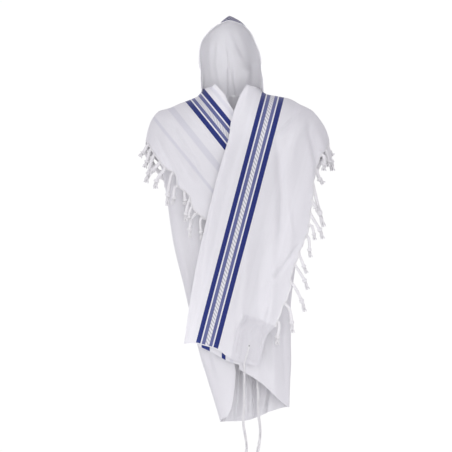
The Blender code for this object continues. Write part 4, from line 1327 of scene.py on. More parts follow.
# %% Both sides of the body wrap
LEFT_WRAP_CREASES = (
    Crease(0.014, 0.006, 0.4, ((0.15, 0.85), (0.14, 1.05), (0.15, 1.25), (0.165, 1.33))),
    Crease(0.012, -0.006, -0.4, ((0.11, 0.9), (0.105, 1.08), (0.12, 1.24))),
    Crease(0.01, 0.0045, 0.3, ((0.07, 1.0), (0.075, 1.12), (0.095, 1.22))),
    Crease(0.01, -0.004, 0.3, ((0.18, 0.96), (0.182, 1.12), (0.19, 1.3))),
)
RIGHT_WRAP_CREASES = (
    Crease(0.02, 0.007, 0.4, ((-0.2, 0.52), (-0.18, 0.76), (-0.125, 1.06), (-0.06, 1.33))),
    Crease(0.014, -0.006, -0.3, ((-0.15, 0.56), (-0.14, 0.8), (-0.09, 1.06), (-0.04, 1.3))),
    Crease(0.011, 0.0045, 0.3, ((-0.105, 0.7), (-0.1, 0.9), (-0.065, 1.12), (-0.02, 1.28))),
    Crease(0.01, -0.004, -0.3, ((-0.17, 0.8), (-0.12, 1.08), (-0.07, 1.26))),
)


def left_wrap_cloth(column, row):
    """The left wrap in cloth, whose front edge reaches further round, and whose hem rises to it."""
    point = left_wrap_point(column, row)
    further = ease(0.90, 1.0, column)
    point.x -= 0.016 * further
    point.z += (0.0125 * ease(0.55, 0.85, column) + 0.0065 * further) * ease(0.85, 1.0, row)
    return point


def make_wrap(name, point, creases):
    """One side of the wrap, whose creases fade out to its side seam, and its places."""
    base = lay_out(point, 84, 110)
    places = creased(base, creases, BODY_WAVES, 0.08, hold_sides=(0.14, 0.0))
    return weave_wool(name, base, places, PLAIN_WOOL), places


left_wrap, left_wrap_places = make_wrap("left_wrap_cloth", left_wrap_cloth, LEFT_WRAP_CREASES)
right_wrap, _ = make_wrap("right_wrap_cloth", right_wrap_point, RIGHT_WRAP_CREASES)

# %% [markdown]
# ## The wings
#
# Each wing is a stretch in front and one behind that meet over the shoulder. The front of the
# left wing crosses over the right one. Its inner border rolls into a soft fold, and long creases
# fan out from the shoulder towards the fringe. The stripes run unbroken over the shoulder, so
# both stretches measure the cloth from the same line.

# %% Where a wing's cloth is, across and along
STRIPE_DRIFT = (-0.0045, 0.0080)  # how far the stripes' middle lies across, and its drift
BEHIND_NECK = (-0.090, 0.05)  # cloth from the stripes to the side of the neck, and on behind it

# Below the crossing the right wing's hem is puckered, so its stripes meet it wider and narrower.
HEM_FROM = (-0.200, -0.0365, -0.0235, 0.0170, 0.0440, 0.200)
HEM_TO = (-0.200, -0.0385, -0.0231, 0.0229, 0.0383, 0.200)


def drift(wing, along):
    """How far across the middle of the stripes lies at a length along the wing."""
    return STRIPE_DRIFT[0] + STRIPE_DRIFT[1] * along if wing is LEFT else 0.0


def front_cloth_map(wing, flat, base):
    """The cloth's own measure of each place in front: across the stripes, and along them."""
    rows, columns = base.shape[0] - 1, base.shape[1] - 1
    lengths = cloth_lengths(base)
    across = np.zeros((rows + 1, columns + 1))
    along = np.zeros((rows + 1, columns + 1))
    for i in range(columns + 1):
        turned = 0
        for j in range(rows + 1):
            spot, down, curl = flat(i / columns, j / rows)
            across[j, i] = spot - drift(wing, down)
            if wing is RIGHT and j / rows > RIGHT_UPPER:
                across[j, i] = np.interp(across[j, i], HEM_FROM, HEM_TO)
            along[j, i] = down
            if wing is LEFT:
                along[j, i] += (LEFT_HEM_ALONG - left_hem(spot)) * ease(0.75, 1.0, j / rows)
            turned = j if curl < 1.0 else turned
        start = along[turned + 1, i] - lengths[turned + 1, i]
        along[: turned + 1, i] = lengths[: turned + 1, i] + start
    return across, along


def back_cloth_map(wing, base):
    """The same measure behind, which starts from the shoulder line."""
    rows, columns = base.shape[0] - 1, base.shape[1] - 1
    ridge = BACK_RIDGES[wing.name]
    across = np.zeros((rows + 1, columns + 1))
    for i in range(columns + 1):
        share = i / columns
        x, drop = read(ridge, "share", "x", share), read(ridge, "share", "drop", share)
        start, down = in_frame(wing, x, drop)
        start -= drift(wing, down)
        neck_share = share * (NECK_STEPS + SHOULDER_STEPS) / (NECK_STEPS - 1)
        if neck_share < 1:
            start = BEHIND_NECK[0] - BEHIND_NECK[1] * (1 - neck_share)
        later = mix(BACK_INNER_ACROSS, BACK_OUTER_ACROSS, share)
        for j in range(rows + 1):
            across[j, i] = mix(start, later, ease(0.0, 0.75, j / rows))
    return across, -cloth_lengths(base)


print("the left wing's stripes drift", round(STRIPE_DRIFT[1] * LEFT_HEM_ALONG, 4), "m on their way down")

# %% Left wing
LEFT_WING_CREASES = (
    Crease(
        0.009, -0.0085, 0.5,
        ((0.268, 0.29), (0.24, 0.322), (0.2, 0.362), (0.158, 0.402), (0.13, 0.43)),
    ),
    Crease(0.016, 0.006, -0.3, ((0.29, 0.32), (0.25, 0.36), (0.215, 0.42), (0.2, 0.52))),
    Crease(
        0.016, -0.0115, 0.4,
        ((0.152, 0.38), (0.164, 0.48), (0.174, 0.6), (0.172, 0.72), (0.15, 0.83)),
    ),
    Crease(0.015, -0.014, 0.4, ((0.264, 0.33), (0.28, 0.42), (0.297, 0.5), (0.294, 0.6))),
    Crease(0.01, 0.006, -0.4, ((0.304, 0.39), (0.318, 0.45), (0.324, 0.52))),
    Crease(0.008, -0.007, 0.5, ((0.24, 0.76), (0.205, 0.81), (0.176, 0.85), (0.15, 0.88), (0.1, 0.93))),
    Crease(
        0.026, -0.0115, 0.4,
        ((0.132, 0.64), (0.12, 0.76), (0.104, 0.87), (0.096, 0.97), (0.092, 1.08)),
    ),
    Crease(0.016, 0.01, 0.3, ((0.152, 0.8), (0.141, 0.91), (0.131, 1.0), (0.118, 1.09))),
    Crease(0.022, 0.013, -0.3, ((0.074, 0.72), (0.048, 0.86), (0.036, 0.98), (0.03, 1.08))),
    Crease(0.006, -0.004, -0.4, ((0.14, 0.94), (0.118, 1.01), (0.104, 1.08), (0.098, 1.16))),
    Crease(0.006, 0.0035, 0.4, ((0.04, 0.98), (0.036, 1.06), (0.03, 1.14), (0.026, 1.18))),
    Crease(0.005, -0.003, 0.4, ((0.022, 1.0), (0.018, 1.08), (0.01, 1.15))),
    Crease(0.01, 0.005, 0.4, ((0.196, 0.64), (0.206, 0.74), (0.19, 0.84))),
    Crease(
        0.013, 0.007, 0.3,
        ((0.026, 0.34), (-0.036, 0.55), (-0.062, 0.67), (-0.088, 0.82), (-0.108, 0.95)),
    ),
    Crease(
        0.015, -0.007, -0.3,
        ((0.05, 0.36), (-0.008, 0.55), (-0.035, 0.67), (-0.06, 0.82), (-0.08, 0.95)),
    ),
)
WING_WAVES = ((0.080, 0.0034, 9.1), (0.034, 0.0012, 4.4))
wing_left_base = lay_out(left_front_point, 120, 110)
wing_left_places = creased(wing_left_base, LEFT_WING_CREASES, WING_WAVES, 0.20)
wing_left = weave_sheet(
    "left_wing_cloth",
    wing_left_places,
    *front_cloth_map(LEFT, left_front_flat, wing_left_base),
    STRIPED_WOOL,
)


# %% Right wing
def right_flat_all(column, row):
    """Below its crossing the right wing hangs on under the left one, narrowed by its folds, and
    the ends of its stripes peep out below the left wing's hem."""
    across, along, curl = right_front_flat(column, min(row / RIGHT_UPPER, 1.0))
    below = max(row - RIGHT_UPPER, 0.0) / (1 - RIGHT_UPPER)
    across = mix(across, (column - 0.62) * 0.147, ease(0.0, 0.9, below))
    return across, along + (0.55 - mix(0.0165, 0.0200, column)) * below, curl


RIGHT_WING_CREASES = (
    Crease(0.01, -0.008, 0.5, ((-0.214, 0.33), (-0.18, 0.4), (-0.13, 0.48), (-0.08, 0.57))),
    Crease(0.014, 0.006, -0.4, ((-0.238, 0.35), (-0.205, 0.42), (-0.16, 0.5), (-0.11, 0.59))),
    Crease(0.01, -0.007, 0.4, ((-0.262, 0.37), (-0.235, 0.44), (-0.19, 0.53), (-0.14, 0.62))),
    Crease(0.008, 0.004, -0.4, ((-0.272, 0.41), (-0.25, 0.48), (-0.215, 0.56))),
    Crease(0.009, 0.004, 0.3, ((-0.15, 0.3), (-0.09, 0.38), (-0.04, 0.45))),
)
wing_right_base = lay_out(right_front_point, 100, 110)
wing_right_places = creased(wing_right_base, RIGHT_WING_CREASES, WING_WAVES, 0.25)
wing_right = weave_sheet(
    "right_wing_cloth",
    wing_right_places,
    *front_cloth_map(RIGHT, right_flat_all, wing_right_base),
    CROSSED_WOOL,
)

# %% Both wings behind the shoulders
BACK_WING_CREASES = (
    Crease(0.012, 0.005, 0.4, ((0.18, 0.42), (0.15, 0.56), (0.12, 0.76), (0.1, 0.9))),
    Crease(0.01, -0.004, -0.4, ((0.22, 0.44), (0.17, 0.6), (0.15, 0.86))),
    Crease(0.01, 0.0035, 0.3, ((0.06, 0.42), (0.04, 0.62), (0.02, 0.88))),
    Crease(0.012, 0.005, -0.4, ((-0.18, 0.42), (-0.12, 0.58), (-0.06, 0.78), (-0.04, 0.9))),
    Crease(0.01, -0.004, 0.4, ((-0.22, 0.44), (-0.14, 0.62), (-0.1, 0.86))),
    Crease(0.01, 0.0035, 0.3, ((-0.05, 0.42), (-0.01, 0.6), (0.03, 0.86))),
)
behind = []
behind_places = []
for name, wing, point in (
    ("left_wing_back_cloth", LEFT, left_back_point),
    ("right_wing_back_cloth", RIGHT, right_back_point),
):
    base = lay_out(point, 90, 84)
    places = creased(base, BACK_WING_CREASES, WING_WAVES, 0.25)
    behind_places.append(places)
    behind.append(weave_sheet(name, places, *back_cloth_map(wing, base), STRIPED_WOOL))
wing_left_back, wing_right_back = behind
wing_left_back_places, wing_right_back_places = behind_places

# %% [markdown]
# ## The neckband and the corner patches
#
# A narrow woven band is sewn along the edge that lies on the head, and a square of twill
# strengthens each corner where the tzitzit goes through. Both lie on the cloth, so each follows
# the same places, a little further out.


# %% A trim that follows the cloth below it
def look_up(places, column, row):
    """A place between the sheet's own ones."""
    rows, columns = places.shape[0] - 1, places.shape[1] - 1
    x, y = min(max(column, 0.0), 1.0) * columns, min(max(row, 0.0), 1.0) * rows
    i, j = min(int(x), columns - 1), min(int(y), rows - 1)
    u, v = x - i, y - j
    top = places[j, i] * (1 - u) + places[j, i + 1] * u
    foot = places[j + 1, i] * (1 - u) + places[j + 1, i + 1] * u
    return top * (1 - v) + foot * v


def over_cloth(cover, places, columns, rows, height, drawn_back=0.0):
    """Places over a part of a sheet, raised from it by a height. Towards its ends the first row
    may be drawn back from the sheet's edge."""
    stretch = cover.stretch
    found = np.zeros((rows + 1, columns + 1, 3))
    for j in range(rows + 1):
        for i in range(columns + 1):
            column = mix(cover.first_column, cover.last_column, i / columns) / stretch.columns
            side = 2 * i / columns - 1
            back = drawn_back * (ease(0.30, 0.80, side) + ease(0.15, 0.55, -side))
            row = mix(cover.first_row, cover.last_row, mix(back, 1.0, j / rows)) / stretch.rows
            found[j, i] = look_up(places, column, row)
    return found + facing(found) * height


def trim_sheet(name, laid, finish, wall):
    """A trim through its places, with its map measured from its middle."""
    along = cloth_lengths(laid)
    return weave_sheet(name, laid, cloth_widths(laid), along - along.mean(), finish, wall)


print("patches inside the cloth:", *(each.name for each in CORNERS if each.cover.face == INSIDE))

# %% Neckband
BAND_WALL, BAND_LIFT, BAND_DRAWN_BACK = 0.0012, 0.0010, 0.26
band_laid = over_cloth(
    NECKBAND, hood_places, 90, 24, CLOTH_WALL / 2 + BAND_LIFT, drawn_back=BAND_DRAWN_BACK
)
neckband = trim_sheet("neckband_cloth", band_laid, BAND, BAND_WALL)

# %% Corner patches with a stitched border and an eyelet
PATCH_BEDS = (wing_left_places, left_wrap_places, wing_left_back_places, wing_right_back_places)


def patch_relief(shape, height):
    """A turned-in hem round the patch: a low welt, then a dip at its line of stitches."""
    rows, columns = shape
    u = np.linspace(0, 1, columns)[None, :]
    v = np.linspace(0, 1, rows)[:, None]
    inside = np.minimum(np.minimum(u, 1 - u), np.minimum(v, 1 - v))
    welt = np.clip(1 - np.abs(inside - 0.05) / 0.05, 0, 1)
    dip = np.clip(1 - np.abs(inside - 0.12) / 0.03, 0, 1)
    gathers = np.sin(27 * u + 2.2 * v + 0.7) + 0.7 * np.sin(43 * u - 1.4 * v) * (1 - 0.5 * v)
    return height * (0.6 * welt - 0.8 * dip + 0.30 * gathers)


PATCH_WALL, PATCH_LIFT, PATCH_RELIEF = 0.0010, 0.0012, 0.0015
patches = {}
patch_places = {}
for corner, bed in zip(CORNERS, PATCH_BEDS):
    laid = over_cloth(corner.cover, bed, 44, 36, 0.0)
    lift = CLOTH_WALL / 2 + PATCH_LIFT + patch_relief(laid.shape[:2], PATCH_RELIEF)
    laid = laid + facing(laid) * corner.cover.face * lift[..., None]
    patches[corner.name] = trim_sheet(corner.name + "_patch_cloth", laid, TWILL, PATCH_WALL)
    patch_places[corner.name] = laid


# %% Eyelets
EYELET_RADIUS, EYELET_YARN, HOLE_RADIUS = 0.0040, 0.0012, 0.0037
RING_LIFT, HOLE_LIFT = 0.0010, 0.0009

# The eyelet's hole is not cut: a flat dark disc on the patch is painted shade for it.
EYELET_HOLE_SHADE = bpy.data.materials.new("eyelet_shade")
EYELET_HOLE_SHADE.use_nodes = True
eyelet_shader = EYELET_HOLE_SHADE.node_tree.nodes["Principled BSDF"]
eyelet_shader.inputs["Base Color"].default_value = (0.045, 0.045, 0.055, 1)
eyelet_shader.inputs["Roughness"].default_value = 0.95


def on_patch(corner, share_across, share_down):
    """A place on a corner's patch, and the direction away from the cloth there."""
    laid = patch_places[corner.name]
    rows, columns = laid.shape[0] - 1, laid.shape[1] - 1
    normal = facing(laid)[round(share_down * rows), round(share_across * columns)]
    return Vector(look_up(laid, share_across, share_down)), Vector(normal) * corner.cover.face


def joined(name, parts):
    """Several parts as one piece, each with its own finish."""
    bpy.ops.object.select_all(action="DESELECT")
    for part in parts:
        part.select_set(True)
    bpy.context.view_layer.objects.active = parts[0]
    bpy.ops.object.join()
    parts[0].name = parts[0].data.name = name
    return parts[0]


def add_eyelet(corner):
    """A worked hole: a thick sewn ring round a flat dark disc of painted shade for its opening, joined to
    its patch.
    """
    spot, normal = on_patch(corner, *corner.eyelet)
    turned = normal.to_track_quat("Z", "Y").to_matrix().to_4x4()
    bpy.ops.object.select_all(action="DESELECT")
    bpy.ops.mesh.primitive_torus_add(
        major_segments=28, minor_segments=10, major_radius=EYELET_RADIUS, minor_radius=EYELET_YARN
    )
    ring = bpy.context.object
    ring.data.materials.append(YARN_WHITE)
    # A dark disc of painted shade where the hole is.
    bpy.ops.mesh.primitive_circle_add(vertices=24, radius=HOLE_RADIUS, fill_type="TRIFAN")
    hole = bpy.context.object
    hole.data.materials.append(EYELET_HOLE_SHADE)
    for part, lift in ((ring, RING_LIFT), (hole, HOLE_LIFT)):
        part.data.transform(Matrix.Translation(spot + normal * lift) @ turned)
    return joined(corner.name + "_patch_cloth", [patches[corner.name], ring, hole])


patches = {corner.name: add_eyelet(corner) for corner in CORNERS}
print("patches with eyelets:", *patches)

# %% [markdown]
# ## The fringes
#
# The wings' ends are finished with tassels: bunches of warp yarn twisted together, tied in a
# knot and left to fray below it. One straight tassel is modelled along its own length, from a
# tube whose rings are swollen at the knot. It is then copied for each place and bent, with a
# twist, down the curve on which that tassel hangs.

# %% One straight tassel, root at 0 and tip at 1
SHAFT_END, TUFT_START = 0.76, 0.74  # shares of a tassel's length: its twisted part, its tuft
KNOT_AT = 0.88  # share of the twisted part where the knot sits
STRANDS = 8  # of the tuft: one in the middle, and the others round it


def uneven(number, scale):
    """A small fixed variation from one strand to the next."""
    return scale * math.sin(12.9898 * number + 4.1)


def straight_tube(name, around, rings, radius_at, lobes=0, depth=0.0, start=0.0, end=1.0):
    """A closed tube along Z whose radius changes along its length."""
    bpy.ops.object.select_all(action="DESELECT")
    bpy.ops.mesh.primitive_cylinder_add(vertices=around, radius=1, depth=1, end_fill_type="TRIFAN")
    obj = bpy.context.object
    obj.name = name
    bpy.ops.object.mode_set(mode="EDIT")
    bm = bmesh.from_edit_mesh(obj.data)
    upright = [e for e in bm.edges if abs(e.verts[0].co.z - e.verts[1].co.z) > 0.5]
    bmesh.ops.subdivide_edges(bm, edges=upright, cuts=rings, use_grid_fill=True)
    bmesh.update_edit_mesh(obj.data)
    bpy.ops.object.mode_set(mode="OBJECT")
    for vert in obj.data.vertices:
        share = vert.co.z + 0.5
        angle = math.atan2(vert.co.y, vert.co.x)
        radius = radius_at(share) * (1 + depth * math.cos(lobes * angle))
        middle = math.hypot(vert.co.x, vert.co.y)
        vert.co.x, vert.co.y = (vert.co.x * radius, vert.co.y * radius) if middle > 0.01 else (0, 0)
        vert.co.z = mix(start, end, share)
    return obj


def shaft_radius(share):
    """Slim at the root, even down the shaft, swollen at the knot, then a waist."""
    slim = mix(0.0034, 0.0044, ease(0.0, 0.15, share))
    knot = 0.0036 * bell(share - KNOT_AT, 0.065)
    groove = -0.0011 * bell(share - KNOT_AT, 0.013)
    return slim + knot + groove - 0.0006 * ease(0.95, 1.0, share)


def strand_radius(share):
    return 0.0022 * (1 - 0.40 * share)


def model_tassel():
    """Shaft with its knot, and a tuft of strands that spread below it."""
    shaft = straight_tube(
        "tassel_shaft", 12, 60, shaft_radius, lobes=3, depth=0.20, end=SHAFT_END
    )
    parts = [shaft]
    for number in range(STRANDS):
        strand = straight_tube("tassel_strand", 5, 7, strand_radius, start=TUFT_START, end=1.0)
        turn = 2 * math.pi * number / (STRANDS - 1)
        spread = 0.0 if number == STRANDS - 1 else 1.0
        reach = 1.0 + uneven(number, 0.14)
        for vert in strand.data.vertices:
            down = (vert.co.z - TUFT_START) / (1 - TUFT_START)
            out = spread * (0.0028 + 0.0036 * down**1.3 * reach)
            wave = 0.0008 * math.sin(9 * down + 2.0 * number)
            vert.co.x += out * math.cos(turn) + wave
            vert.co.y += out * math.sin(turn) - wave
            vert.co.z = TUFT_START + (1 - TUFT_START) * down * (0.90 + 0.10 * reach)
        parts.append(strand)
    return joined("tassel_template", parts)


tassel_template = model_tassel()
print("one tassel:", len(tassel_template.data.polygons), "faces")


# %% Bending a copy down its curve
def smooth_path(corners, steps):
    """Points on a smooth curve through the corners, evenly by share."""
    line = np.array([tuple(c) for c in corners], float)
    spots = np.linspace(0, len(line) - 1, steps + 1)
    found = []
    for spot in spots:
        i = min(int(spot), len(line) - 2)
        t = spot - i
        a, b = line[i], line[i + 1]
        before = line[max(i - 1, 0)]
        after = line[min(i + 2, len(line) - 1)]
        m0, m1 = (b - before) / 2, (after - a) / 2
        found.append(
            (2 * t**3 - 3 * t**2 + 1) * a
            + (t**3 - 2 * t**2 + t) * m0
            + (-2 * t**3 + 3 * t**2) * b
            + (t**3 - t**2) * m1
        )
    return np.array(found)


def bent_copy(template, path, twist_pitch, size=1.0):
    """A copy of a straight piece whose length follows the path, twisted as it goes."""
    mesh = template.data.copy()
    steps = np.linalg.norm(np.diff(path, axis=0), axis=1)
    lengths = np.concatenate([[0.0], np.cumsum(steps)])
    ways = np.gradient(path, axis=0)
    ways /= np.linalg.norm(ways, axis=1, keepdims=True)
    sides = np.cross(ways, (0.31, 0.95, 0.02))
    sides /= np.linalg.norm(sides, axis=1, keepdims=True)
    fronts = np.cross(ways, sides)
    flat = np.empty(len(mesh.vertices) * 3)
    mesh.vertices.foreach_get("co", flat)
    flat = flat.reshape(-1, 3)
    at = np.clip(flat[:, 2], 0, 1) * lengths[-1]
    turn = at / twist_pitch * 2 * math.pi * (flat[:, 2] < SHAFT_END)
    x = (flat[:, 0] * np.cos(turn) - flat[:, 1] * np.sin(turn)) * size
    y = (flat[:, 0] * np.sin(turn) + flat[:, 1] * np.cos(turn)) * size
    bent = np.stack([np.interp(at, lengths, path[:, k]) for k in range(3)], axis=1)
    side = np.stack([np.interp(at, lengths, sides[:, k]) for k in range(3)], axis=1)
    front = np.stack([np.interp(at, lengths, fronts[:, k]) for k in range(3)], axis=1)
    bent = bent + side * x[:, None] + front * y[:, None]
    mesh.vertices.foreach_set("co", bent.ravel())
    mesh.update()
    obj = bpy.data.objects.new("tassel", mesh)
    bpy.context.scene.collection.objects.link(obj)
    return obj


def yarn_piece(name, parts):
    """Several parts as one piece of yarn with outward faces."""
    piece = joined(name, parts)
    bpy.ops.object.mode_set(mode="EDIT")
    bpy.ops.mesh.select_all(action="SELECT")
    bpy.ops.mesh.normals_make_consistent(inside=False)
    bpy.ops.object.mode_set(mode="OBJECT")
    bpy.ops.object.shade_smooth_by_angle(angle=math.radians(70))
    piece.data.materials.clear()
    piece.data.materials.append(YARN_WHITE)
    print(f"{name}: {len(piece.data.polygons)} faces")
    return piece


print("the twist runs over the first", SHAFT_END, "of each tassel")


# %% A round strand along a path
def strand(path, radius, around=6):
    """A closed tube along a path: one radius, or one for each of its points."""
    path = np.array(path, float)
    radii = np.broadcast_to(np.array(radius, float), (len(path),))
    curve = bpy.data.curves.new("strand", "CURVE")
    curve.dimensions = "3D"
    curve.bevel_depth = 1.0
    curve.bevel_resolution = max(0, around // 2 - 2)
    curve.use_fill_caps = True
    spline = curve.splines.new("POLY")
    spline.points.add(len(path) - 1)
    for point, spot, size in zip(spline.points, path, radii):
        point.co = (*spot, 1.0)
        point.radius = float(size)
    guide = bpy.data.objects.new("strand", curve)
    bpy.context.scene.collection.objects.link(guide)
    select_only(guide)
    bpy.ops.object.convert(target="MESH")
    return bpy.context.object


# %% A fringe: its edge cord and its tassels
TWIST_PITCH = 0.020  # length of one turn of a tassel's twist
EDGE_TWIST = 0.014  # and of the cord along the edge
EDGE_CORD, EDGE_OUT = 0.0021, 0.0022  # the cord's radius, and its place beyond the cloth
HANG_SHARES = (0, 0.2, 0.4, 0.6, 0.8, 1.0)
ROOT_THREADS = (-1.0, -0.55, 0.0, 0.55, 1.0)  # warp threads that gather into one tassel
ROOT_SPREAD, ROOT_RADIUS = 0.011, 0.0011  # how far along the edge the last of them start, and their radius
TASSEL_SIZE, UNEVEN_SIZE = 1.18, 0.14  # their thickness beside the straight one's, and how it varies


def beside_cloth(places, run, row, distance):
    """A place beside the cloth's edge: on it, or a distance beyond it."""
    share = row / run.stretch.rows
    edge = Vector(look_up(places, 1.0, share))
    inner = Vector(look_up(places, 0.985, share))
    return edge + (edge - inner).normalized() * distance


def spaced_rows(places, run):
    """Rows at which tassels hang an even pitch apart along an edge."""
    rows = []
    travelled, row, step = TASSEL_PITCH * 0.6, float(run.first), 0.05
    while row < run.last - 3 * step:
        here = beside_cloth(places, run, row, 0.005)
        there = beside_cloth(places, run, row + step, 0.005)
        travelled += (there - here).length
        row += step
        if travelled >= TASSEL_PITCH:
            travelled = 0.0
            rows.append(row)
    return rows


def hanging_end(root, row):
    """Where a tassel behind the shoulders ends: drawn inwards, and a little out from the back."""
    length = TASSEL_LENGTH * (1 + uneven(row, 0.14))
    end = root + Vector((uneven(row + 0.37, 0.010), 0, -length))
    end.x -= math.copysign(0.060 if abs(root.x) > 0.24 else 0.022, root.x)
    end.y += 0.012
    return end


def edge_cord(places, run):
    """The twisted cord that closes the cloth's edge under its tassels."""
    steps = 26 * (run.last - run.first)
    rows = [mix(run.first, run.last, step / steps) for step in range(steps + 1)]
    spine = np.array([tuple(beside_cloth(places, run, row, EDGE_OUT)) for row in rows])
    straight = straight_tube("edge_cord", 9, steps, lambda share: EDGE_CORD, lobes=3, depth=0.22)
    cord = bent_copy(straight, spine, EDGE_TWIST)
    bpy.data.objects.remove(straight)
    return cord


def make_fringe(run, places):
    """The fringe of one edge: its cord, its tassels, and the threads that gather into each."""
    parts = [edge_cord(places, run)]
    first, last = (beside_cloth(places, run, row, 0) for row in (run.first, run.last))
    edge_step = max((last - first).length / (run.last - run.first), 0.02)
    hangs = [(each.row, each) for each in run.tassels]
    hangs = hangs or [(row, None) for row in spaced_rows(places, run)]
    for number, (row, tip) in enumerate(hangs):
        root = beside_cloth(places, run, row, 0.0015)
        outer, inner = (beside_cloth(places, run, row, reach) for reach in (0.02, 0.0))
        outward = (outer - inner).normalized()
        end = place(tip.x, 0.003 - root.y, tip.drop) if tip else hanging_end(root, row)
        bend = root + outward * (end - root).length * 0.30
        corners = [root.lerp(bend, at).lerp(bend.lerp(end, at), at) for at in HANG_SHARES]
        for order, corner in enumerate(corners[1:-1]):
            corner.x += uneven(number * 3 + order, 0.0052)
            corner.z += uneven(number * 5 + order + 0.4, 0.0030)
        path = smooth_path(corners, 40)
        size = TASSEL_SIZE + uneven(number + 0.21, UNEVEN_SIZE)
        twist = TWIST_PITCH * (1 + uneven(number, 0.2))
        parts.append(bent_copy(tassel_template, path, twist, size))
        for thread in ROOT_THREADS:
            along_edge = min(max(row + thread * ROOT_SPREAD / edge_step, run.first), run.last)
            start = beside_cloth(places, run, along_edge, 0.0)
            meet = Vector(path[4 if abs(thread) < 0.8 else 6])
            web = smooth_path([start, start.lerp(meet, 0.5) + outward * 0.001, meet], 6)
            parts.append(strand(web, ROOT_RADIUS, 5))
    return yarn_piece(run.name + "_yarn", parts)


EDGES = (wing_left_places, wing_right_places, wing_left_back_places, wing_right_back_places)
fringes = {run.name: make_fringe(run, places) for run, places in zip(RUNS, EDGES)}
bpy.data.objects.remove(tassel_template)

# %% [markdown]
# ## The tzitzit
#
# A tzitzit is four long strings that go through the corner's eyelet and fold in half, so eight
# ends hang. The upper third is bound: windings between double knots. Its cord turns over the
# hem, so it lies on the patch first and hangs free below.

# %% Sizes of a tzitzit, and thread wound round its core
CORE, CORD_LIFT = 0.0026, CLOTH_WALL + 0.0022  # radius of its core, and its place off the patch
KNOTS, KNOT_PITCH = 5, TZITZIT_STEM / 4.5
KNOT_RADIUS, KNOT_THREAD = 0.0033, 0.0015
WIND_RADIUS, WIND_THREAD = 0.0030, 0.0009
WIND_INSET = 0.0045  # from the middle of a knot to the first turn of the windings
STRING = 0.0016  # radius of a string
OVER_STEPS, FREE_STEPS = 18, 28  # of a string's path over the patch, and of its free end
ENDS = 8  # strings that hang free

# How far a cord has swung aside, and up, from where its eyelet would let it hang.
HANG_SHIFT = {"left_front": (-0.0060, 0.0), "right_front": (-0.0075, 0.0060)}
BACK_LEAN = 0.056  # behind the body the cord leans on the cloth, which slopes inwards there


def winding(top, foot, turns, radius, thread):
    """Thread wound round a core, from one place down to another."""
    top, foot = Vector(top), Vector(foot)
    path = []
    steps = int(turns * 9)
    for step in range(steps + 1):
        share = step / steps
        angle = 2 * math.pi * turns * share
        middle = top.lerp(foot, share)
        path.append(middle + Vector((math.cos(angle), math.sin(angle), 0)) * radius)
    return strand([tuple(p) for p in path], thread, 5)


print("each tzitzit has", KNOTS, "double knots,", round(KNOT_PITCH, 4), "m apart")


# %% A tzitzit: over the patch, down its bound stem, then free
def over_patch(eyelet, hem):
    """Three strings that run from the eyelet to the hem, twisted round one another."""
    parts = []
    for number in range(3):
        path = []
        for step in range(OVER_STEPS + 1):
            share = step / OVER_STEPS
            angle = 2 * math.pi * number / 3 + 5.0 * share
            aside = Vector((math.cos(angle) * 0.0018, math.sin(angle) * 0.0012, 0))
            path.append(tuple(eyelet.lerp(hem, share) + aside))
        parts.append(strand(path, STRING))
    return parts


def bound_stem(hem):
    """The core with its double knots and the windings between them."""
    foot = hem - Vector((0, 0, TZITZIT_STEM))
    bow = Vector((0.0015, 0, 0))
    core = smooth_path([hem, hem.lerp(foot, 0.33) + bow, hem.lerp(foot, 0.66) - bow, foot], 30)
    parts = [strand(core, CORE, 8)]
    for knot in range(KNOTS):
        centre = np.array(hem) - (0, 0, KNOT_PITCH * (knot + 0.45))
        for height in (-0.0016, 0.0016):
            upper, lower = centre + (0, 0, height + 0.0014), centre + (0, 0, height - 0.0014)
            parts.append(winding(upper, lower, 1.6, KNOT_RADIUS, KNOT_THREAD))
        if knot < KNOTS - 1:
            first = centre - (0, 0, WIND_INSET)
            last = centre - (0, 0, KNOT_PITCH - WIND_INSET)
            parts.append(winding(first, last, 6, WIND_RADIUS, WIND_THREAD))
    return parts


def free_strings(top, seed, lean):
    """Eight strings that hang from the last knot, each with its own slight sway."""
    parts = []
    for number in range(ENDS):
        turn = math.radians(22 + 360 / ENDS * number)
        length = TZITZIT_STRINGS * (1 + uneven(number * 1.7 + seed, 0.06))
        path = []
        for step in range(FREE_STEPS + 1):
            share = step / FREE_STEPS
            out = 0.0018 + 0.0030 * share
            sway = 0.0050 * math.sin(6.5 * share + seed) + 0.0022 * math.sin(15 * share)
            sway -= 0.0050 * math.sin(seed) * (1 - share)
            sway += 0.0026 * math.sin(5.5 * share + 1.3 * number) * share
            sway += 0.0010 * math.sin(21 * share + 2.1 * number)
            x = math.cos(turn) * out + sway + lean * share
            path.append(tuple(top + Vector((x, math.sin(turn) * out, -length * share))))
        parts.append(strand(path, STRING))
    return parts


def make_tzitzit(corner):
    """One tzitzit: over its patch from the eyelet to the hem, then down."""
    ends = []
    for at in (corner.eyelet, corner.hem):
        spot, normal = on_patch(corner, *at)
        ends.append(spot + normal * CORD_LIFT)
    eyelet, hem = ends
    aside, up = HANG_SHIFT.get(corner.name, (0.0, 0.0))
    hem += Vector((aside, corner.hang, up))
    lean = BACK_LEAN if corner.name == "right_back" else 0.0
    foot = hem - Vector((0, 0, TZITZIT_STEM))
    parts = over_patch(eyelet, hem) + bound_stem(hem)
    parts += free_strings(foot, len(corner.name), lean)
    return yarn_piece(corner.name + "_tzitzit_cord", parts)


tzitzits = {corner.name: make_tzitzit(corner) for corner in CORNERS}

# %% [markdown]
# ## What each piece stands for
#
# Every piece rides on the shawl's one body and takes the place of its plain solid.

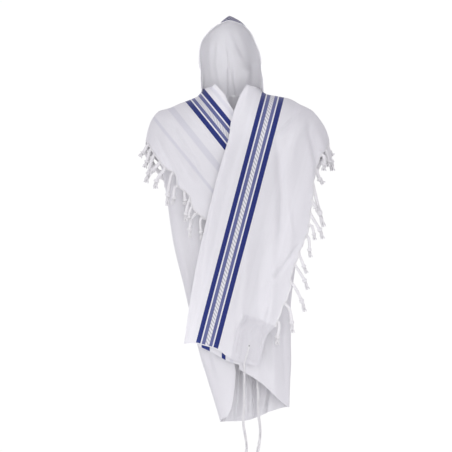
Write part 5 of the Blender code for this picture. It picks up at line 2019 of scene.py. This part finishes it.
# %% Ride and replace
PIECES = (
    (hood, "hood", "white_wool"),
    (back, "back_panel", "white_wool"),
    (left_wrap, "left_wrap", "white_wool"),
    (right_wrap, "right_wrap", "white_wool"),
    (wing_left, "left_wing_front", "white_wool"),
    (wing_right, "right_wing_front", "white_wool"),
    (wing_left_back, "left_wing_back", "white_wool"),
    (wing_right_back, "right_wing_back", "white_wool"),
    (neckband, "neckband", "woven_band"),
)
for piece, node, slot in PIECES:
    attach(piece, "root")
    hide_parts(node)
for name, piece in fringes.items():
    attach(piece, "root")
    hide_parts(name)
for corner in CORNERS:
    patch = patches[corner.name]
    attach(patch, "root")
    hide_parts(corner.name + "_patch")
    cord = tzitzits[corner.name]
    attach(cord, "root")
    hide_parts(corner.name + "_tzitzit")

print("pieces that ride on the body:", len(PIECES) + len(fringes) + len(patches) + len(tzitzits))

# %% [markdown]
# ## Floor, light and camera
#
# The room is a soft white studio: a pale floor where the wearer would stand, and even light from
# all round. A broad lamp stands straight in front, one at the wearer's right whose shadows show
# the folds, and one behind. Two weak narrow ones fill the hood and the foot. Seen by the camera,
# the room is plain white. A long lens looks straight on.

# %% Floor
FLOOR_SIZE, FLOOR_Z = 6.6, -1.72

bpy.ops.object.select_all(action="DESELECT")
bpy.ops.mesh.primitive_plane_add(size=FLOOR_SIZE, location=(0, 0, 0))
floor = bpy.context.object
floor.name = "floor"
for vert in floor.data.vertices:
    vert.co.z = FLOOR_Z
floor_white = bpy.data.materials.new("floor_white")
floor_white.use_nodes = True
floor_shader = floor_white.node_tree.nodes["Principled BSDF"]
floor_shader.inputs["Base Color"].default_value = (0.9, 0.9, 0.9, 1.0)
floor_shader.inputs["Roughness"].default_value = 0.8
floor.data.materials.append(floor_white)
print("the floor lies at", FLOOR_Z, "m")

# %% Light from all round, and the white that the camera sees behind the shawl
ROOM_COLOUR, ROOM_STRENGTH = (0.955, 0.930, 1.0, 1.0), 0.68
BACKDROP_STRENGTH = 1.02

world = bpy.data.worlds.new("studio")
bpy.context.scene.world = world
world.use_nodes = True
tree = world.node_tree
room = tree.nodes["Background"]
room.inputs["Color"].default_value = ROOM_COLOUR
room.inputs["Strength"].default_value = ROOM_STRENGTH
backdrop = tree.nodes.new("ShaderNodeBackground")
backdrop.inputs["Color"].default_value = (1.0, 1.0, 1.0, 1.0)
backdrop.inputs["Strength"].default_value = BACKDROP_STRENGTH
seen = tree.nodes.new("ShaderNodeLightPath")
choose = tree.nodes.new("ShaderNodeMixShader")
tree.links.new(seen.outputs["Is Camera Ray"], choose.inputs["Fac"])
tree.links.new(room.outputs[0], choose.inputs[1])
tree.links.new(backdrop.outputs[0], choose.inputs[2])
tree.links.new(choose.outputs[0], tree.nodes["World Output"].inputs["Surface"])
bpy.context.scene.view_settings.view_transform = "Standard"
print("room light:", ROOM_STRENGTH)


# %% Lamps
def lamp(name, place_at, aim, size, power, spread=180):
    """A square lamp at a place, turned to its aim, that the camera doesn't see."""
    light = bpy.data.lights.new(name, "AREA")
    light.shape = "SQUARE"
    light.size = size
    light.energy = power
    light.spread = math.radians(spread)
    obj = bpy.data.objects.new(name, light)
    bpy.context.scene.collection.objects.link(obj)
    obj.location = place_at
    obj.visible_camera = False
    obj.rotation_euler = (Vector(aim) - Vector(place_at)).to_track_quat("-Z", "Y").to_euler()
    print(f"lamp {name}: {power} W")


lamp("front", (0.0, -5.5, -0.8), (0, 0, -0.7), 1.4, 66)
lamp("side", (-4.4, -3.6, -0.1), (0, 0, -0.7), 1.0, 36)
lamp("rear", (-1.6, 5.2, 0.5), (0, 0, -0.6), 1.4, 80)
lamp("hood", (0.34, -1.05, -0.22), (0, 0, -0.07), 0.5, 0.20, 32)
lamp("low", (0.9, -2.5, -1.25), (0.06, 0, -1.32), 1.2, 1.00, 44)

# %% Camera
FRAME_HEIGHT, MIDDLE_X, MIDDLE_Z, CAMERA_AWAY = 1.5368, -0.0136, -0.7089, 14.0
SENSOR = 36.0

camera = bpy.data.cameras.new("camera")
camera.sensor_width = SENSOR
camera.lens = SENSOR * CAMERA_AWAY / FRAME_HEIGHT
camera.clip_end = 60.0
camera_object = bpy.data.objects.new("camera", camera)
bpy.context.scene.collection.objects.link(camera_object)
camera_object.location = (MIDDLE_X, -CAMERA_AWAY, MIDDLE_Z)
camera_object.rotation_euler = (math.radians(90), 0, 0)
bpy.context.scene.camera = camera_object
print("lens:", round(camera.lens, 1), "mm at", CAMERA_AWAY, "m")
